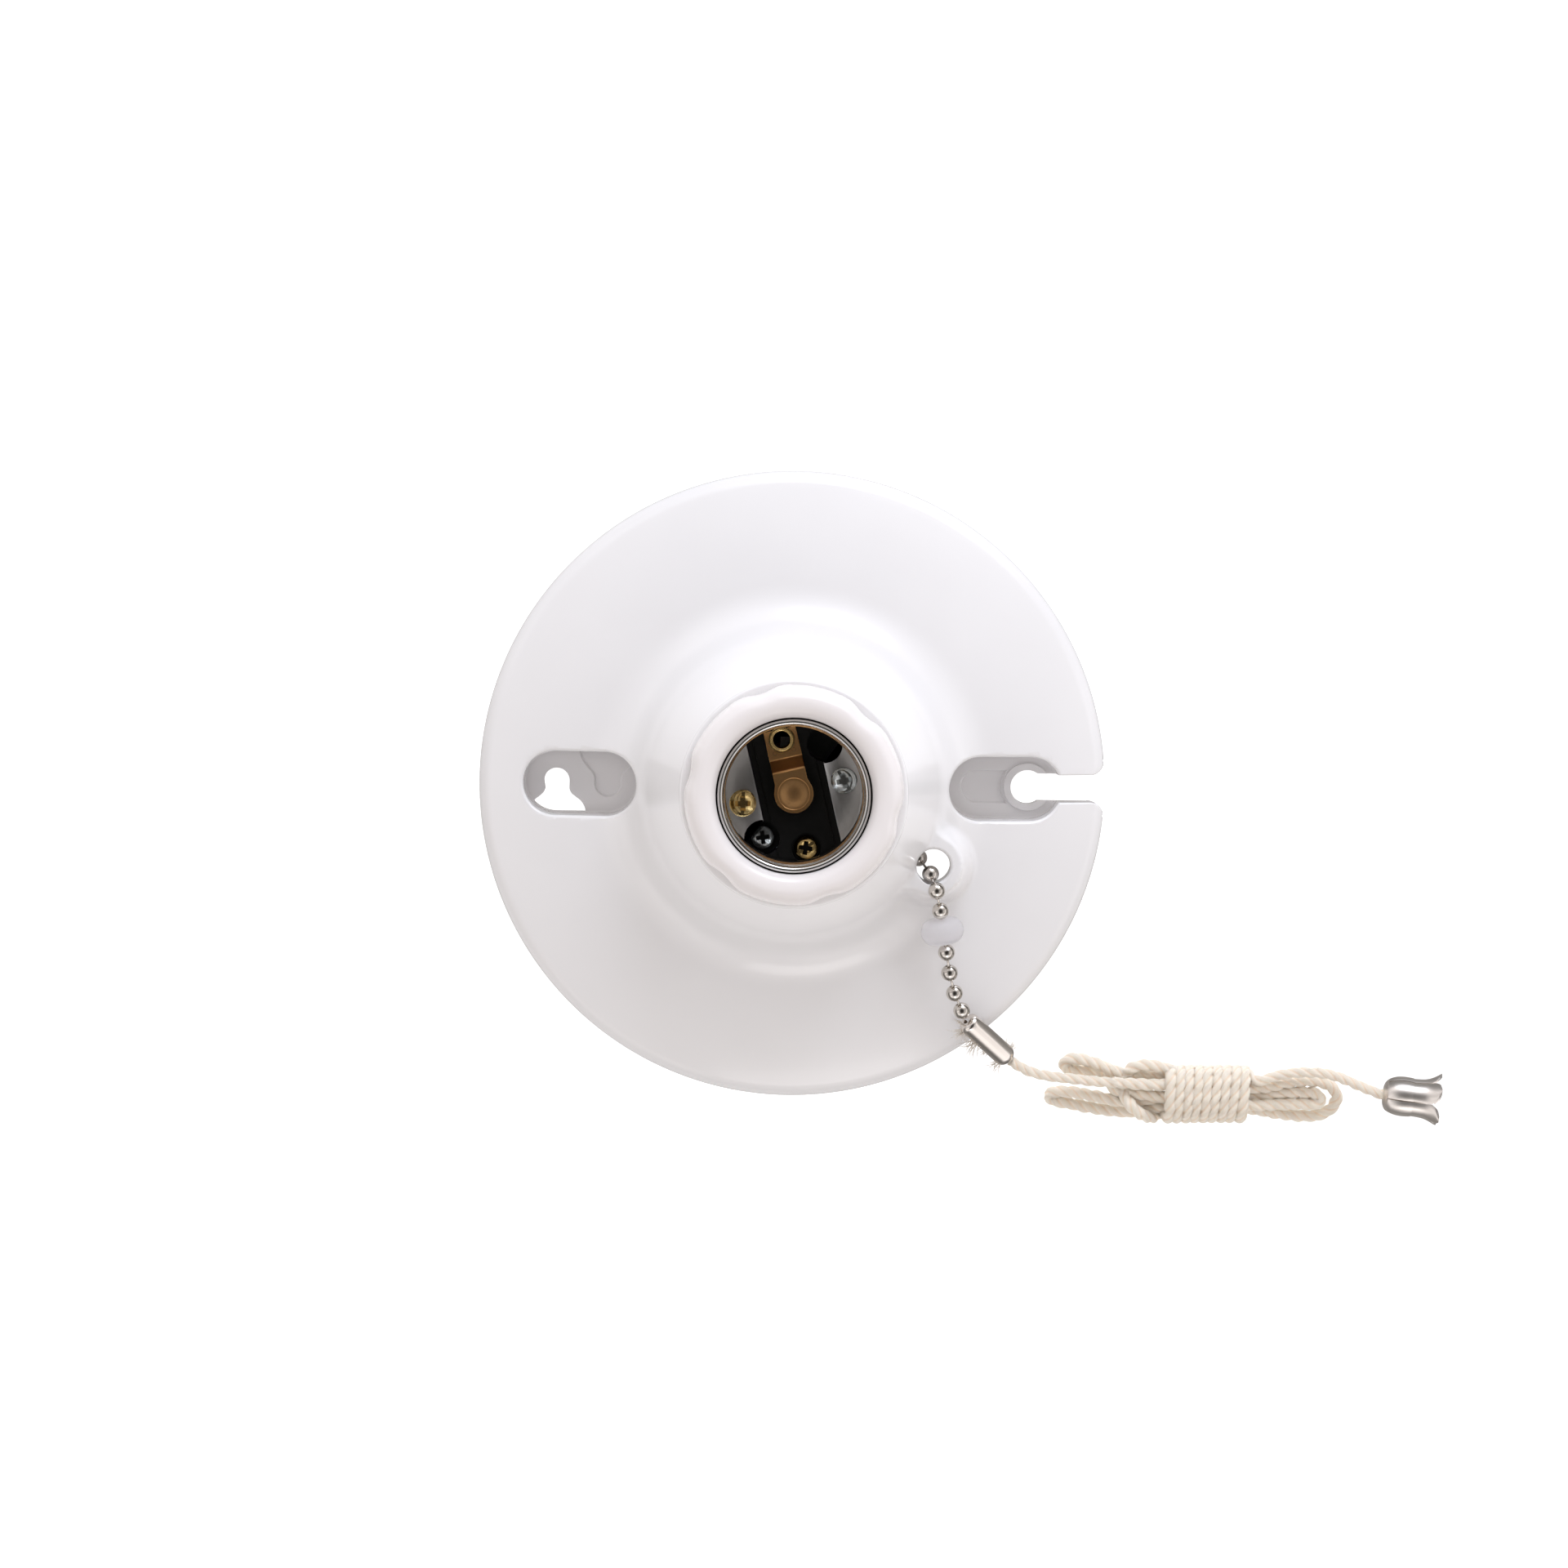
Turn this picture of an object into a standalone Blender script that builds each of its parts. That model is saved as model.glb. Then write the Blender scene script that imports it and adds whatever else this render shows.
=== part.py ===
"""Pull-chain lampholder: a round box-mounted base with a screw-shell lamp socket and a pull-chain switch.

Frame: the origin is at the centre of the mounting plane, +Z points out of the base towards the lamp,
and the two mounting-screw pockets lie on the X axis. Lengths below are in millimetres; MM makes them metres.
"""

import math

import bmesh
import bpy
from mathutils import Matrix, Vector

MM = 0.001
GAP = 0.3  # clearance between pieces that rest on each other
ROUND = 50  # segments of the large turned pieces
SMALL_ROUND = 14  # segments of screws, pins and holes

# Housing: the moulded base, its neck and the barrel inside it
DISC_R = 58.4
WALL = 3.0
RIM_FLAT = 4.6  # height of the straight side before the edge rounds over
RIM_ROUND = 3.7
DOME_FOOT_R, DOME_TOP_Z = 33.2, 13.9
NECK_FOOT_R, NECK_FOOT_Z = 28.3, 17.8
NECK_TOP_R, NECK_TOP_Z = 20.6, 38.8
BARREL_R, BARREL_BORE_R, BARREL_FOOT_Z = 20.0, 17.6, 3.5
LEDGE_BORE_R, LEDGE_Z = 15.6, 6.7

# Mounting pockets: obround wells, one with a keyhole and one open to the rim
POCKET_X, POCKET_LENGTH, POCKET_HALF = 39.4, 21.2, 5.95
POCKET_FLOOR_Z, POCKET_BACK_Z, POCKET_WALL = 3.5, 1.0, 2.0
SCREW_X = 44.0
KEYHOLE_R, KEYHOLE_ENTRY_R, KEYHOLE_ENTRY_Y = 2.4, 5.0, -6.8
SLOT_HOLE_R, SLOT_HALF, SLOT_CORNER_R = 3.15, 2.55, 2.7
SLOT_RING_R, SLOT_RING_H = 4.5, 0.6
KNOCKOUT_X, KNOCKOUT_DEPTH = 34.9, 0.5

# Chain outlet boss
BOSS_ANGLE, BOSS_DISTANCE = math.radians(-28.0), 29.4
BOSS_R, BOSS_HOLE_R, BOSS_TOP_Z, BOSS_FOOT_Z = 6.2, 3.1, 21.8, 11.6
BOSS_BLEND_R, BOSS_EDGE = 5.0, 1.0

# Socket: collar, screw shell and contact block
COLLAR_R, COLLAR_CROWN_R, COLLAR_LIP_R, COLLAR_TOP_Z = 19.8, 16.9, 14.0, 47.3
COLLAR_FOOT_Z, COLLAR_SKIRT_R, COLLAR_BORE_R = 39.2, 17.3, 14.9
NOTCH_COUNT, NOTCH_FIRST, NOTCH_R, NOTCH_DEPTH = 6, math.radians(48.8), 7.5, 0.85
SHELL_FOOT_Z, SHELL_TOP_Z, SHELL_SHEET = 29.7, 45.0, 0.38
THREAD_PITCH, THREAD_MID_R, THREAD_HALF_DEPTH = 3.629, 12.72, 0.42
SHELL_RIM_R = 13.6
FLANGE_TOP_Z = 30.2
BAR_TILT = math.radians(13.5)  # the block's long axis leans from the Y axis
BAR_HALF, RIB_HALF, RIB_TOP_Z = 6.4, 5.2, 29.9
BLOCK_R, BLOCK_FOOT_Z, BLOCK_TOP_Z = 17.2, 22.0, 29.4
NOTCH_HOLE_AT, NOTCH_HOLE_R, NOTCH_HOLE_FOOT_Z = (7.3, 7.1), 3.1, 25.2
SHELL_SCREW_N, BLOCK_SCREW_M = 9.4, -10.6
STRIP_HALF, STRIP_END_R, STRIP_THICK = 3.0, 3.55, 0.4
STRIP_BASE_Z, STRIP_END_Z = 30.4, 31.7
STRIP_ROOT_M, STRIP_BEND_M, STRIP_TOP_M, STRIP_END_M = 11.6, 6.4, 3.9, -0.3
EYELET_M, EYELET_R = 9.7, 2.2

# Switch mechanism, stacked on the socket axis below the block
CASE_R, CASE_FOOT_Z, CASE_TOP_Z, CASE_FLOOR_Z, CHAMBER_R = 17.2, 8.0, 21.7, 8.8, 14.4
AXLE_R = 1.2
LEVER_Z, LEVER_TOP_Z, LEVER_R, LEVER_SLOT_HALF = 14.0, 15.4, 9.2, 1.15
ROTOR_Z, ROTOR_TOP_Z, ROTOR_R, RATCHET_TEETH, RATCHET_TOP_Z = 10.5, 12.6, 8.4, 8, 13.1
CONTACT_ANGLE = math.radians(20.0)
CONTACT_HALF, CONTACT_Z, CONTACT_TOP_Z, CONTACT_INNER = 1.8, 9.1, 9.5, 5.5
LINE_CONTACT_END, LOAD_CONTACT_END, RISER_THICK, RISER_TOP_Z = 12.6, 13.4, 0.5, 21.4
BRIDGE_Z, BRIDGE_TOP_Z, BRIDGE_REACH, BRIDGE_HALF = 9.8, 10.2, 8.0, 2.4
RATCHET_ROOT_R, RATCHET_TIP_R = 4.4, 5.7
LEVER_HUB_R, LEVER_HALF, LEVER_TAIL, LEVER_SLOT = 3.3, 2.6, 7.0, (4.2, 8.2)
PAWL_HALF, PAWL_FROM, PAWL_TO, PAWL_THICK = 0.9, 3.7, 6.8, 0.35
COIL_R, COIL_WIRE_R, COIL_FOOT_Z, COIL_TOP_Z, COIL_TURNS = 2.35, 0.28, 16.2, 20.8, 5

# Rear: insulating plate and the two wiring terminals under it
REAR_FOOT_Z, REAR_TOP_Z = 7.0, 7.7
TERMINAL_X, TERMINAL_HALF_X, TERMINAL_HALF_Y = 8.6, 3.9, 5.5
TERMINAL_FOOT_Z, TERMINAL_TOP_Z, TERMINAL_HOLE_R = 6.2, 6.7, 2.0

# Bead chain: the run inside is straight, then it climbs the outlet and lies down over the boss
BEAD_R, BEAD_PITCH, LINK_R = 1.6, 4.3, 0.42
STROKE = 2 * BEAD_PITCH
RUN_ANGLE = math.radians(-40.0)
OUTLET_BEADS = ((23.4, -12.6, 17.7), (25.5, -15.35, 20.6), (26.55, -18.2, 23.8), (27.35, -22.0, 22.3))
INSULATOR_AT, INSULATOR_R, INSULATOR_HALF = (28.15, -25.9, 20.35), 3.5, 2.4
LOWER_BEADS = ((28.95, -30.1, 18.4), (29.75, -34.05, 16.6), (30.85, -38.0, 14.9), (32.45, -41.5, 13.3))
RUN_BEADS = 5  # beads that stay on the straight run all through the pull
CHANNEL_R = 2.15  # clearance swept round a moving bead

# Connector, cord and bell, lying over the rim and on the surface below
SLEEVE_A, SLEEVE_B, SLEEVE_R, SLEEVE_BORE_R = (33.5, -43.5, 12.1), (41.3, -50.8, 6.6), 1.95, 1.35
CORD_R = 1.05
LEAD_ROUTE = ((42.0, -51.45, 6.2), (44.0, -52.7, 5.8), (46.5, -53.6, 6.0), (49.5, -54.1, 6.3), (53.5, -54.5, 6.4),
              (57.5, -54.9, 6.3), (61.5, -55.1, 6.3), (65.5, -55.3, 6.3), (69.1, -55.4, 6.3))
TAIL_ROUTE = ((87.9, -54.4, 6.3), (91.5, -53.4, 6.3), (95.0, -52.8, 6.3), (98.5, -52.7, 6.2), (101.5, -53.1, 5.9),
              (104.5, -54.1, 5.2), (107.5, -55.4, 4.6), (110.9, -56.7, 4.4))
HANK_LEFT_X, HANK_RIGHT_X, HANK_Y, HANK_HALF, HANK_TOP_Z = 48.2, 104.6, -57.4, 4.6, 4.7
WRAP_LEFT_X, WRAP_RIGHT_X, WRAP_HALF, WRAP_TOP_Z, HANK_FOOT_Z = 69.5, 87.5, 5.2, 8.2, 0.15
BELL_AT, BELL_MOUTH_AT = (111.3, -56.85, 4.35), (122.3, -58.1, 5.15)
BELL_PROFILE = ((0.9, 0.35), (2.6, 0.5), (3.6, 1.5), (3.75, 3.2), (3.55, 5.2), (3.5, 7.0), (3.95, 8.8), (4.9, 10.6))
BELL_SHEET = 0.5

IVORY = (0.86, 0.86, 0.88)
WARM_WHITE = (0.87, 0.85, 0.83)
PHENOLIC = (0.02, 0.018, 0.016)
FIBRE = (0.22, 0.05, 0.03)
BRASS = (0.72, 0.50, 0.20)
BRONZE = (0.66, 0.44, 0.22)
ZINC = (0.62, 0.64, 0.66)
NICKEL = (0.70, 0.69, 0.67)
STEEL = (0.45, 0.45, 0.46)
NYLON = (0.85, 0.86, 0.88)
COTTON = (0.86, 0.76, 0.60)


def arc(centre, radius, start, end, count):
    """Points on an arc, angles in degrees, both ends included."""
    steps = [math.radians(start + (end - start) * i / (count - 1)) for i in range(count)]
    return [(centre[0] + radius * math.cos(a), centre[1] + radius * math.sin(a)) for a in steps]


def bend(start, control, end, count):
    """Points on a quadratic curve after its start, up to and including its end."""
    points = []
    for i in range(1, count + 1):
        t = i / count
        a, b, c = (1 - t) ** 2, 2 * t * (1 - t), t * t
        points.append((a * start[0] + b * control[0] + c * end[0], a * start[1] + b * control[1] + c * end[1]))
    return points


def obround(left, right, half, count=9):
    """Outline with straight sides along X and round ends."""
    return arc((right - half, 0.0), half, -90, 90, count) + arc((left + half, 0.0), half, 90, 270, count)


def socket_xy(n, m):
    """A place across (n) and along (m) the contact block's leaning axis, in X and Y."""
    return (n * math.cos(BAR_TILT) - m * math.sin(BAR_TILT), n * math.sin(BAR_TILT) + m * math.cos(BAR_TILT))


def new_object(name, mesh_data):
    mesh = bpy.data.meshes.new(name)
    mesh_data.to_mesh(mesh)
    mesh_data.free()
    made = bpy.data.objects.new(name, mesh)
    bpy.context.scene.collection.objects.link(made)
    return made


def from_faces(name, points, faces):
    """A closed mesh from points in millimetres, with its faces turned outwards."""
    data = bmesh.new()
    verts = [data.verts.new(Vector(p) * MM) for p in points]
    for face in faces:
        data.faces.new([verts[i] for i in face])
    bmesh.ops.recalc_face_normals(data, faces=data.faces)
    return new_object(name, data)


def turned(name, profile, segments=ROUND):
    """A (radius, z) outline turned about Z. An outline with points on the axis makes a solid, others a ring."""
    points, rings = [], []
    for radius, z in profile:
        if radius == 0:
            rings.append([len(points)] * segments)
            points.append((0.0, 0.0, z))
            continue
        rings.append(list(range(len(points), len(points) + segments)))
        for k in range(segments):
            a = 2 * math.pi * k / segments
            points.append((radius * math.cos(a), radius * math.sin(a), z))
    faces = []
    for here, there in zip(rings, rings[1:] + rings[:1]):
        for k in range(segments):
            corners = [here[k], here[(k + 1) % segments], there[(k + 1) % segments], there[k]]
            corners = [c for i, c in enumerate(corners) if c not in corners[:i]]
            if len(corners) > 2:
                faces.append(corners)
    return from_faces(name, points, faces)


def prism(name, outline, foot, top, edge=0.0):
    """A plan outline raised from foot to top, with its upper edge rounded by edge."""
    count = len(outline)
    points = [(x, y, foot) for x, y in outline] + [(x, y, top) for x, y in outline]
    faces = [list(range(count))[::-1], list(range(count, 2 * count))]
    faces += [[k, (k + 1) % count, count + (k + 1) % count, count + k] for k in range(count)]
    made = from_faces(name, points, faces)
    if edge:
        data = bmesh.new()
        data.from_mesh(made.data)
        rim = [e for e in data.edges if all(v.co.z > (top - 0.01) * MM for v in e.verts)]
        bmesh.ops.bevel(data, geom=rim, offset=edge * MM, segments=3, profile=0.5, affect="EDGES")
        data.to_mesh(made.data)
        data.free()
    return made


def disc(name, radius, foot, top, at=(0.0, 0.0), segments=SMALL_ROUND, edge=0.0):
    outline = [(at[0] + x, at[1] + y) for x, y in arc((0.0, 0.0), radius, 0, 360, segments + 1)[:-1]]
    return prism(name, outline, foot, top, edge)


def bar(name, across, along, foot, top, angle=0.0, at=(0.0, 0.0)):
    """A block between two limits across and two limits along, turned by angle about Z through at."""
    c, s = math.cos(angle), math.sin(angle)
    corners = [(across[0], along[0]), (across[1], along[0]), (across[1], along[1]), (across[0], along[1])]
    return prism(name, [(at[0] + x * c - y * s, at[1] + x * s + y * c) for x, y in corners], foot, top)


def rod(name, start, end, radius, segments=8):
    """A straight round rod between two points."""
    start, end = Vector(start), Vector(end)
    made = turned(name, [(0.0, 0.0), (radius, 0.0), (radius, (end - start).length), (0.0, (end - start).length)],
                  segments)
    return placed(made, start, end - start)


def placed(made, at, direction):
    """Turns a piece built along +Z from the origin so that it starts at a point and runs in a direction."""
    turn = Vector(direction).to_track_quat("Z", "Y").to_matrix().to_4x4()
    made.data.transform(Matrix.Translation(Vector(at) * MM) @ turn)
    return made


def ball(name, centre, radius, segments=10, rings=6):
    data = bmesh.new()
    bmesh.ops.create_uvsphere(data, u_segments=segments, v_segments=rings, radius=radius * MM)
    made = new_object(name, data)
    made.data.transform(Matrix.Translation(Vector(centre) * MM))
    return made


def capsule(name, start, end, radius):
    """The space that a ball sweeps between two points."""
    start, end = Vector(start), Vector(end)
    length = (end - start).length
    far = arc((0.0, length), radius, 18, 90, 3)
    near = arc((0.0, 0.0), radius, -90, -18, 3)
    outline = [(0.0, -radius)] + near[1:] + far[:-1] + [(0.0, length + radius)]
    return placed(turned(name, outline, 10), start, end - start)


def boolean(made, operation, *tools):
    """Cuts, joins or intersects a mesh with each tool in turn, and removes the tools."""
    for tool in tools:
        modifier = made.modifiers.new("boolean", "BOOLEAN")
        modifier.operation = operation
        modifier.solver = "EXACT"
        modifier.object = tool
        bpy.context.view_layer.update()
        result = bpy.data.meshes.new_from_object(made.evaluated_get(bpy.context.evaluated_depsgraph_get()))
        made.modifiers.clear()
        made.data = result
        bpy.data.objects.remove(tool)
    return made


def finish(made, colour, roughness, metallic=0.0, origin=(0.0, 0.0, 0.0), sharp=35.0):
    """Gives a piece its material, smooth shading and the point that it moves about."""
    surface = bpy.data.materials.new(made.name)
    surface.use_nodes = True
    shader = surface.node_tree.nodes["Principled BSDF"]
    shader.inputs["Base Color"].default_value = (*colour, 1.0)
    shader.inputs["Roughness"].default_value = roughness
    shader.inputs["Metallic"].default_value = metallic
    made.data.materials.clear()
    made.data.materials.append(surface)
    if made.type == "MESH":
        made.data.shade_smooth()
        made.data.set_sharp_from_angle(angle=math.radians(sharp))
        made.data.transform(Matrix.Translation(-Vector(origin) * MM))
        made.location = Vector(origin) * MM
    return made


def housing_outline():
    """The base's outer half section, from the rim's foot up to the neck's top."""
    outline = [(DISC_R, 0.0)]
    outline += arc((DISC_R - RIM_ROUND, RIM_FLAT), RIM_ROUND, 0, 76, 5)
    outline += bend(outline[-1], (45.0, 12.0), (DOME_FOOT_R, DOME_TOP_Z), 4)
    outline += bend(outline[-1], (29.6, 14.4), (NECK_FOOT_R, NECK_FOOT_Z), 3)
    outline += bend(outline[-1], (23.6, 28.0), (NECK_TOP_R, NECK_TOP_Z - 0.5), 4)
    return outline + [(NECK_TOP_R - 0.5, NECK_TOP_Z)]


def cavity_outline():
    """The hollow back's half section, one wall inside the outer one."""
    outline = [(DISC_R - WALL, -1.0), (DISC_R - WALL, RIM_FLAT - 0.6)]
    outline += bend(outline[-1], (DISC_R - WALL - 0.4, 6.4), (52.0, 6.6), 2)
    outline += bend(outline[-1], (43.0, 10.0), (31.0, 11.3), 2)
    outline += bend(outline[-1], (27.2, 12.2), (25.6, 16.6), 2)
    return outline + [(BARREL_R - 0.5, 28.6)]


def boss_plan():
    """The outlet boss in plan: a round nose whose sides sweep out into the neck."""
    nose = arc((0.0, 0.0), BOSS_R, -90, 90, 11)
    blend_side = arc((-0.5, BOSS_R + BOSS_BLEND_R), BOSS_BLEND_R, -90, -150, 4)
    local = nose + blend_side + [(-11.0, blend_side[-1][1]), (-11.0, -blend_side[-1][1])]
    local += [(a, -b) for a, b in reversed(blend_side)]
    c, s = math.cos(BOSS_ANGLE), math.sin(BOSS_ANGLE)
    return [((BOSS_DISTANCE + a) * c - b * s, (BOSS_DISTANCE + a) * s + b * c) for a, b in local]


def slot_plan():
    """The channel from the open screw hole out through the rim, with rounded corners."""
    corner = arc((DISC_R - SLOT_CORNER_R - 0.2, SLOT_HALF + SLOT_CORNER_R), SLOT_CORNER_R, -90, 0, 5)
    upper = [(SCREW_X, SLOT_HALF)] + corner + [(DISC_R + 4, corner[-1][1])]
    return upper + [(x, -y) for x, y in reversed(upper)]


def pocket_tool(name, side, foot, top, grow=0.0):
    left, right = side * POCKET_X - POCKET_LENGTH / 2 - grow, side * POCKET_X + POCKET_LENGTH / 2 + grow
    return prism(name, obround(left, right, POCKET_HALF + grow), foot, top)


def boss_centre():
    return (BOSS_DISTANCE * math.cos(BOSS_ANGLE), BOSS_DISTANCE * math.sin(BOSS_ANGLE))


def run_point(distance):
    """A point on the chain's straight run, measured back from the first outlet bead."""
    first = Vector(OUTLET_BEADS[0])
    return first - distance * Vector((math.cos(RUN_ANGLE), math.sin(RUN_ANGLE), 0.0))


def pull_direction():
    """The level direction in which the outside chain is pulled."""
    way = Vector(LOWER_BEADS[-1]) - Vector(OUTLET_BEADS[3])
    way.z = 0.0
    return way.normalized()


def bead_travels():
    """Where each bead of the bend starts, and where it is when the chain is pulled out."""
    outlet = [Vector(p) for p in OUTLET_BEADS]
    pulled_fifth = outlet[3] + pull_direction() * STROKE
    third = outlet[2].lerp(pulled_fifth, 1 / 3)
    fourth = outlet[2].lerp(pulled_fifth, 2 / 3)
    return [(run_point(BEAD_PITCH), outlet[1]), (outlet[0], outlet[2]), (outlet[1], third), (outlet[2], fourth)]


def chain_channel():
    """Tools that clear the chain's way through the barrel, the boss and its edge."""
    tools = [capsule("channel", run_point(7 * BEAD_PITCH), OUTLET_BEADS[0], CHANNEL_R)]
    return tools + [capsule("channel", start, end, CHANNEL_R) for start, end in bead_travels()]


def make_housing():
    outline = housing_outline()
    base = turned("housing", [(0.0, 0.0)] + outline + [(0.0, NECK_TOP_Z)])
    base = boolean(base, "UNION", prism("boss", boss_plan(), BOSS_FOOT_Z, BOSS_TOP_Z, BOSS_EDGE))

    cavity = cavity_outline()
    hollow = turned("hollow", [(0.0, cavity[0][1])] + cavity + [(0.0, cavity[-1][1])])
    kept = [disc("barrel", BARREL_R, BARREL_FOOT_Z, 40.0, segments=ROUND),
            prism("boss_core", boss_plan(), BOSS_FOOT_Z, 40.0),
            pocket_tool("left_well", -1, POCKET_BACK_Z, 40.0, POCKET_WALL),
            pocket_tool("right_well", 1, POCKET_BACK_Z, 40.0, POCKET_WALL),
            bar("channel_walls", (SCREW_X, 60.0), (-SLOT_HALF - 2.2, SLOT_HALF + 2.2), POCKET_BACK_Z, 40.0)]
    base = boolean(base, "DIFFERENCE", boolean(hollow, "DIFFERENCE", *kept))

    base = boolean(base, "DIFFERENCE",
                   disc("bore", BARREL_BORE_R, LEDGE_Z, 50.0, segments=ROUND),
                   disc("ledge_bore", LEDGE_BORE_R, -2.0, LEDGE_Z + 1, segments=ROUND),
                   pocket_tool("left_pocket", -1, POCKET_FLOOR_Z, 40.0),
                   pocket_tool("right_pocket", 1, POCKET_FLOOR_Z, 40.0))
    base = boolean(base, "UNION", disc("ring", SLOT_RING_R, POCKET_FLOOR_Z - 1, POCKET_FLOOR_Z + SLOT_RING_H,
                                       at=(SCREW_X, 0.0), segments=24))

    entry = disc("entry", KEYHOLE_ENTRY_R, -2.0, 20.0, at=(-SCREW_X + 0.5, KEYHOLE_ENTRY_Y), segments=24)
    entry = boolean(entry, "INTERSECT", pocket_tool("well", -1, -3.0, 25.0, -0.2))
    flare = disc("flare", 4.2, POCKET_FLOOR_Z - KNOCKOUT_DEPTH, 20.0, at=(-KNOCKOUT_X, 5.8), segments=24)
    flare = boolean(flare, "INTERSECT", pocket_tool("well", -1, -3.0, 25.0, -0.2))
    panel = prism("panel", obround(KNOCKOUT_X - 3.2, SCREW_X, 3.0), POCKET_FLOOR_Z - KNOCKOUT_DEPTH, 20.0)
    panel = boolean(panel, "DIFFERENCE", disc("ring_gap", SLOT_RING_R + 0.3, 0.0, 25.0, at=(SCREW_X, 0.0)))
    base = boolean(base, "DIFFERENCE", entry, flare, panel,
                   disc("keyhole", KEYHOLE_R, -2.0, 20.0, at=(-SCREW_X, 0.0)),
                   bar("keyhole_neck", (-SCREW_X - 1.9, -SCREW_X + 1.9), (-4.0, 0.0), -2.0, 20.0),
                   disc("knockout", 2.2, POCKET_FLOOR_Z - KNOCKOUT_DEPTH, 20.0, at=(-KNOCKOUT_X, 0.2)),
                   disc("screw_hole", SLOT_HOLE_R, -2.0, 20.0, at=(SCREW_X, 0.0)),
                   prism("slot", slot_plan(), -2.0, 25.0),
                   disc("outlet", BOSS_HOLE_R, 4.0, 30.0, at=boss_centre(), segments=24),
                   *chain_channel())
    return finish(base, IVORY, 0.22)


def make_collar():
    foot = COLLAR_FOOT_Z
    outline = [(COLLAR_R - 0.4, foot), (COLLAR_R, foot + 0.4)]
    outline += bend((COLLAR_R, 41.4), (COLLAR_R, COLLAR_TOP_Z), (COLLAR_CROWN_R, COLLAR_TOP_Z), 4)
    outline += bend(outline[-1], (COLLAR_LIP_R, COLLAR_TOP_Z), (COLLAR_LIP_R, 44.4), 3)
    outline += [(COLLAR_LIP_R, 43.6), (COLLAR_BORE_R, 42.8), (COLLAR_BORE_R, BLOCK_TOP_Z + GAP),
                (COLLAR_SKIRT_R, BLOCK_TOP_Z + GAP), (COLLAR_SKIRT_R, foot)]
    collar = turned("socket_collar", outline, 42)
    reach = COLLAR_R - NOTCH_DEPTH + NOTCH_R
    for k in range(NOTCH_COUNT):
        a = NOTCH_FIRST + 2 * math.pi * k / NOTCH_COUNT
        tool = disc("notch", NOTCH_R, foot - 1, COLLAR_TOP_Z + 1, at=(reach * math.cos(a), reach * math.sin(a)),
                    segments=28)
        collar = boolean(collar, "DIFFERENCE", tool)
    return finish(collar, WARM_WHITE, 0.3)


def shell_radius(angle, z):
    """The shell's inner radius: a helical thread that fades out towards both ends."""
    fade = min(1.0, max(0.0, (z - SHELL_FOOT_Z - 0.8) / 1.4), max(0.0, (SHELL_TOP_Z - 1.4 - z) / 1.2))
    wave = math.cos(2 * math.pi * z / THREAD_PITCH - angle)
    return THREAD_MID_R + THREAD_HALF_DEPTH * fade * wave


def make_shell():
    segments, rows = 30, 16
    heights = [SHELL_FOOT_Z + (SHELL_TOP_Z - 0.8 - SHELL_FOOT_Z) * k / (rows - 1) for k in range(rows)]
    rings = [[(shell_radius(2 * math.pi * k / segments, z), z) for k in range(segments)] for z in heights]
    rings.append([(SHELL_RIM_R - 0.5, SHELL_TOP_Z)] * segments)
    rings.append([(SHELL_RIM_R, SHELL_TOP_Z - 0.3)] * segments)
    rings += [[(r + SHELL_SHEET, z) for r, z in ring] for ring in reversed(rings[:rows])]
    points = [(r * math.cos(2 * math.pi * k / segments), r * math.sin(2 * math.pi * k / segments), z)
              for ring in rings for k, (r, z) in enumerate(ring)]
    count = len(rings)
    faces = [[i * segments + k, i * segments + (k + 1) % segments,
              (i + 1) % count * segments + (k + 1) % segments, (i + 1) % count * segments + k]
             for i in range(count) for k in range(segments)]
    shell = from_faces("screw_shell", points, faces)
    flange = disc("flange", THREAD_MID_R + 0.15, SHELL_FOOT_Z, FLANGE_TOP_Z, segments=segments)
    tools = [bar("gap", (-BAR_HALF, BAR_HALF), (-20.0, 20.0), 29.0, 31.0, BAR_TILT)]
    for side in (-1, 1):
        at = socket_xy(side * NOTCH_HOLE_AT[0], side * NOTCH_HOLE_AT[1])
        tools.append(disc("notch", NOTCH_HOLE_R, 29.0, 31.0, at=at))
        tools.append(disc("hole", 1.6, 29.0, 31.0, at=socket_xy(side * SHELL_SCREW_N, 0.0)))
    flange = boolean(flange, "DIFFERENCE", *tools)
    return finish(boolean(shell, "UNION", *split_flange(flange)), ZINC, 0.25, 1.0)


def split_flange(flange):
    """The two flange halves as objects of their own, so that each joins the shell cleanly."""
    other = flange.copy()
    other.data = flange.data.copy()
    bpy.context.scene.collection.objects.link(other)
    keep_right = bar("right", (0.0, 30.0), (-30.0, 30.0), 20.0, 40.0, BAR_TILT)
    keep_left = bar("left", (-30.0, 0.0), (-30.0, 30.0), 20.0, 40.0, BAR_TILT)
    return boolean(flange, "INTERSECT", keep_right), boolean(other, "INTERSECT", keep_left)


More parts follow.
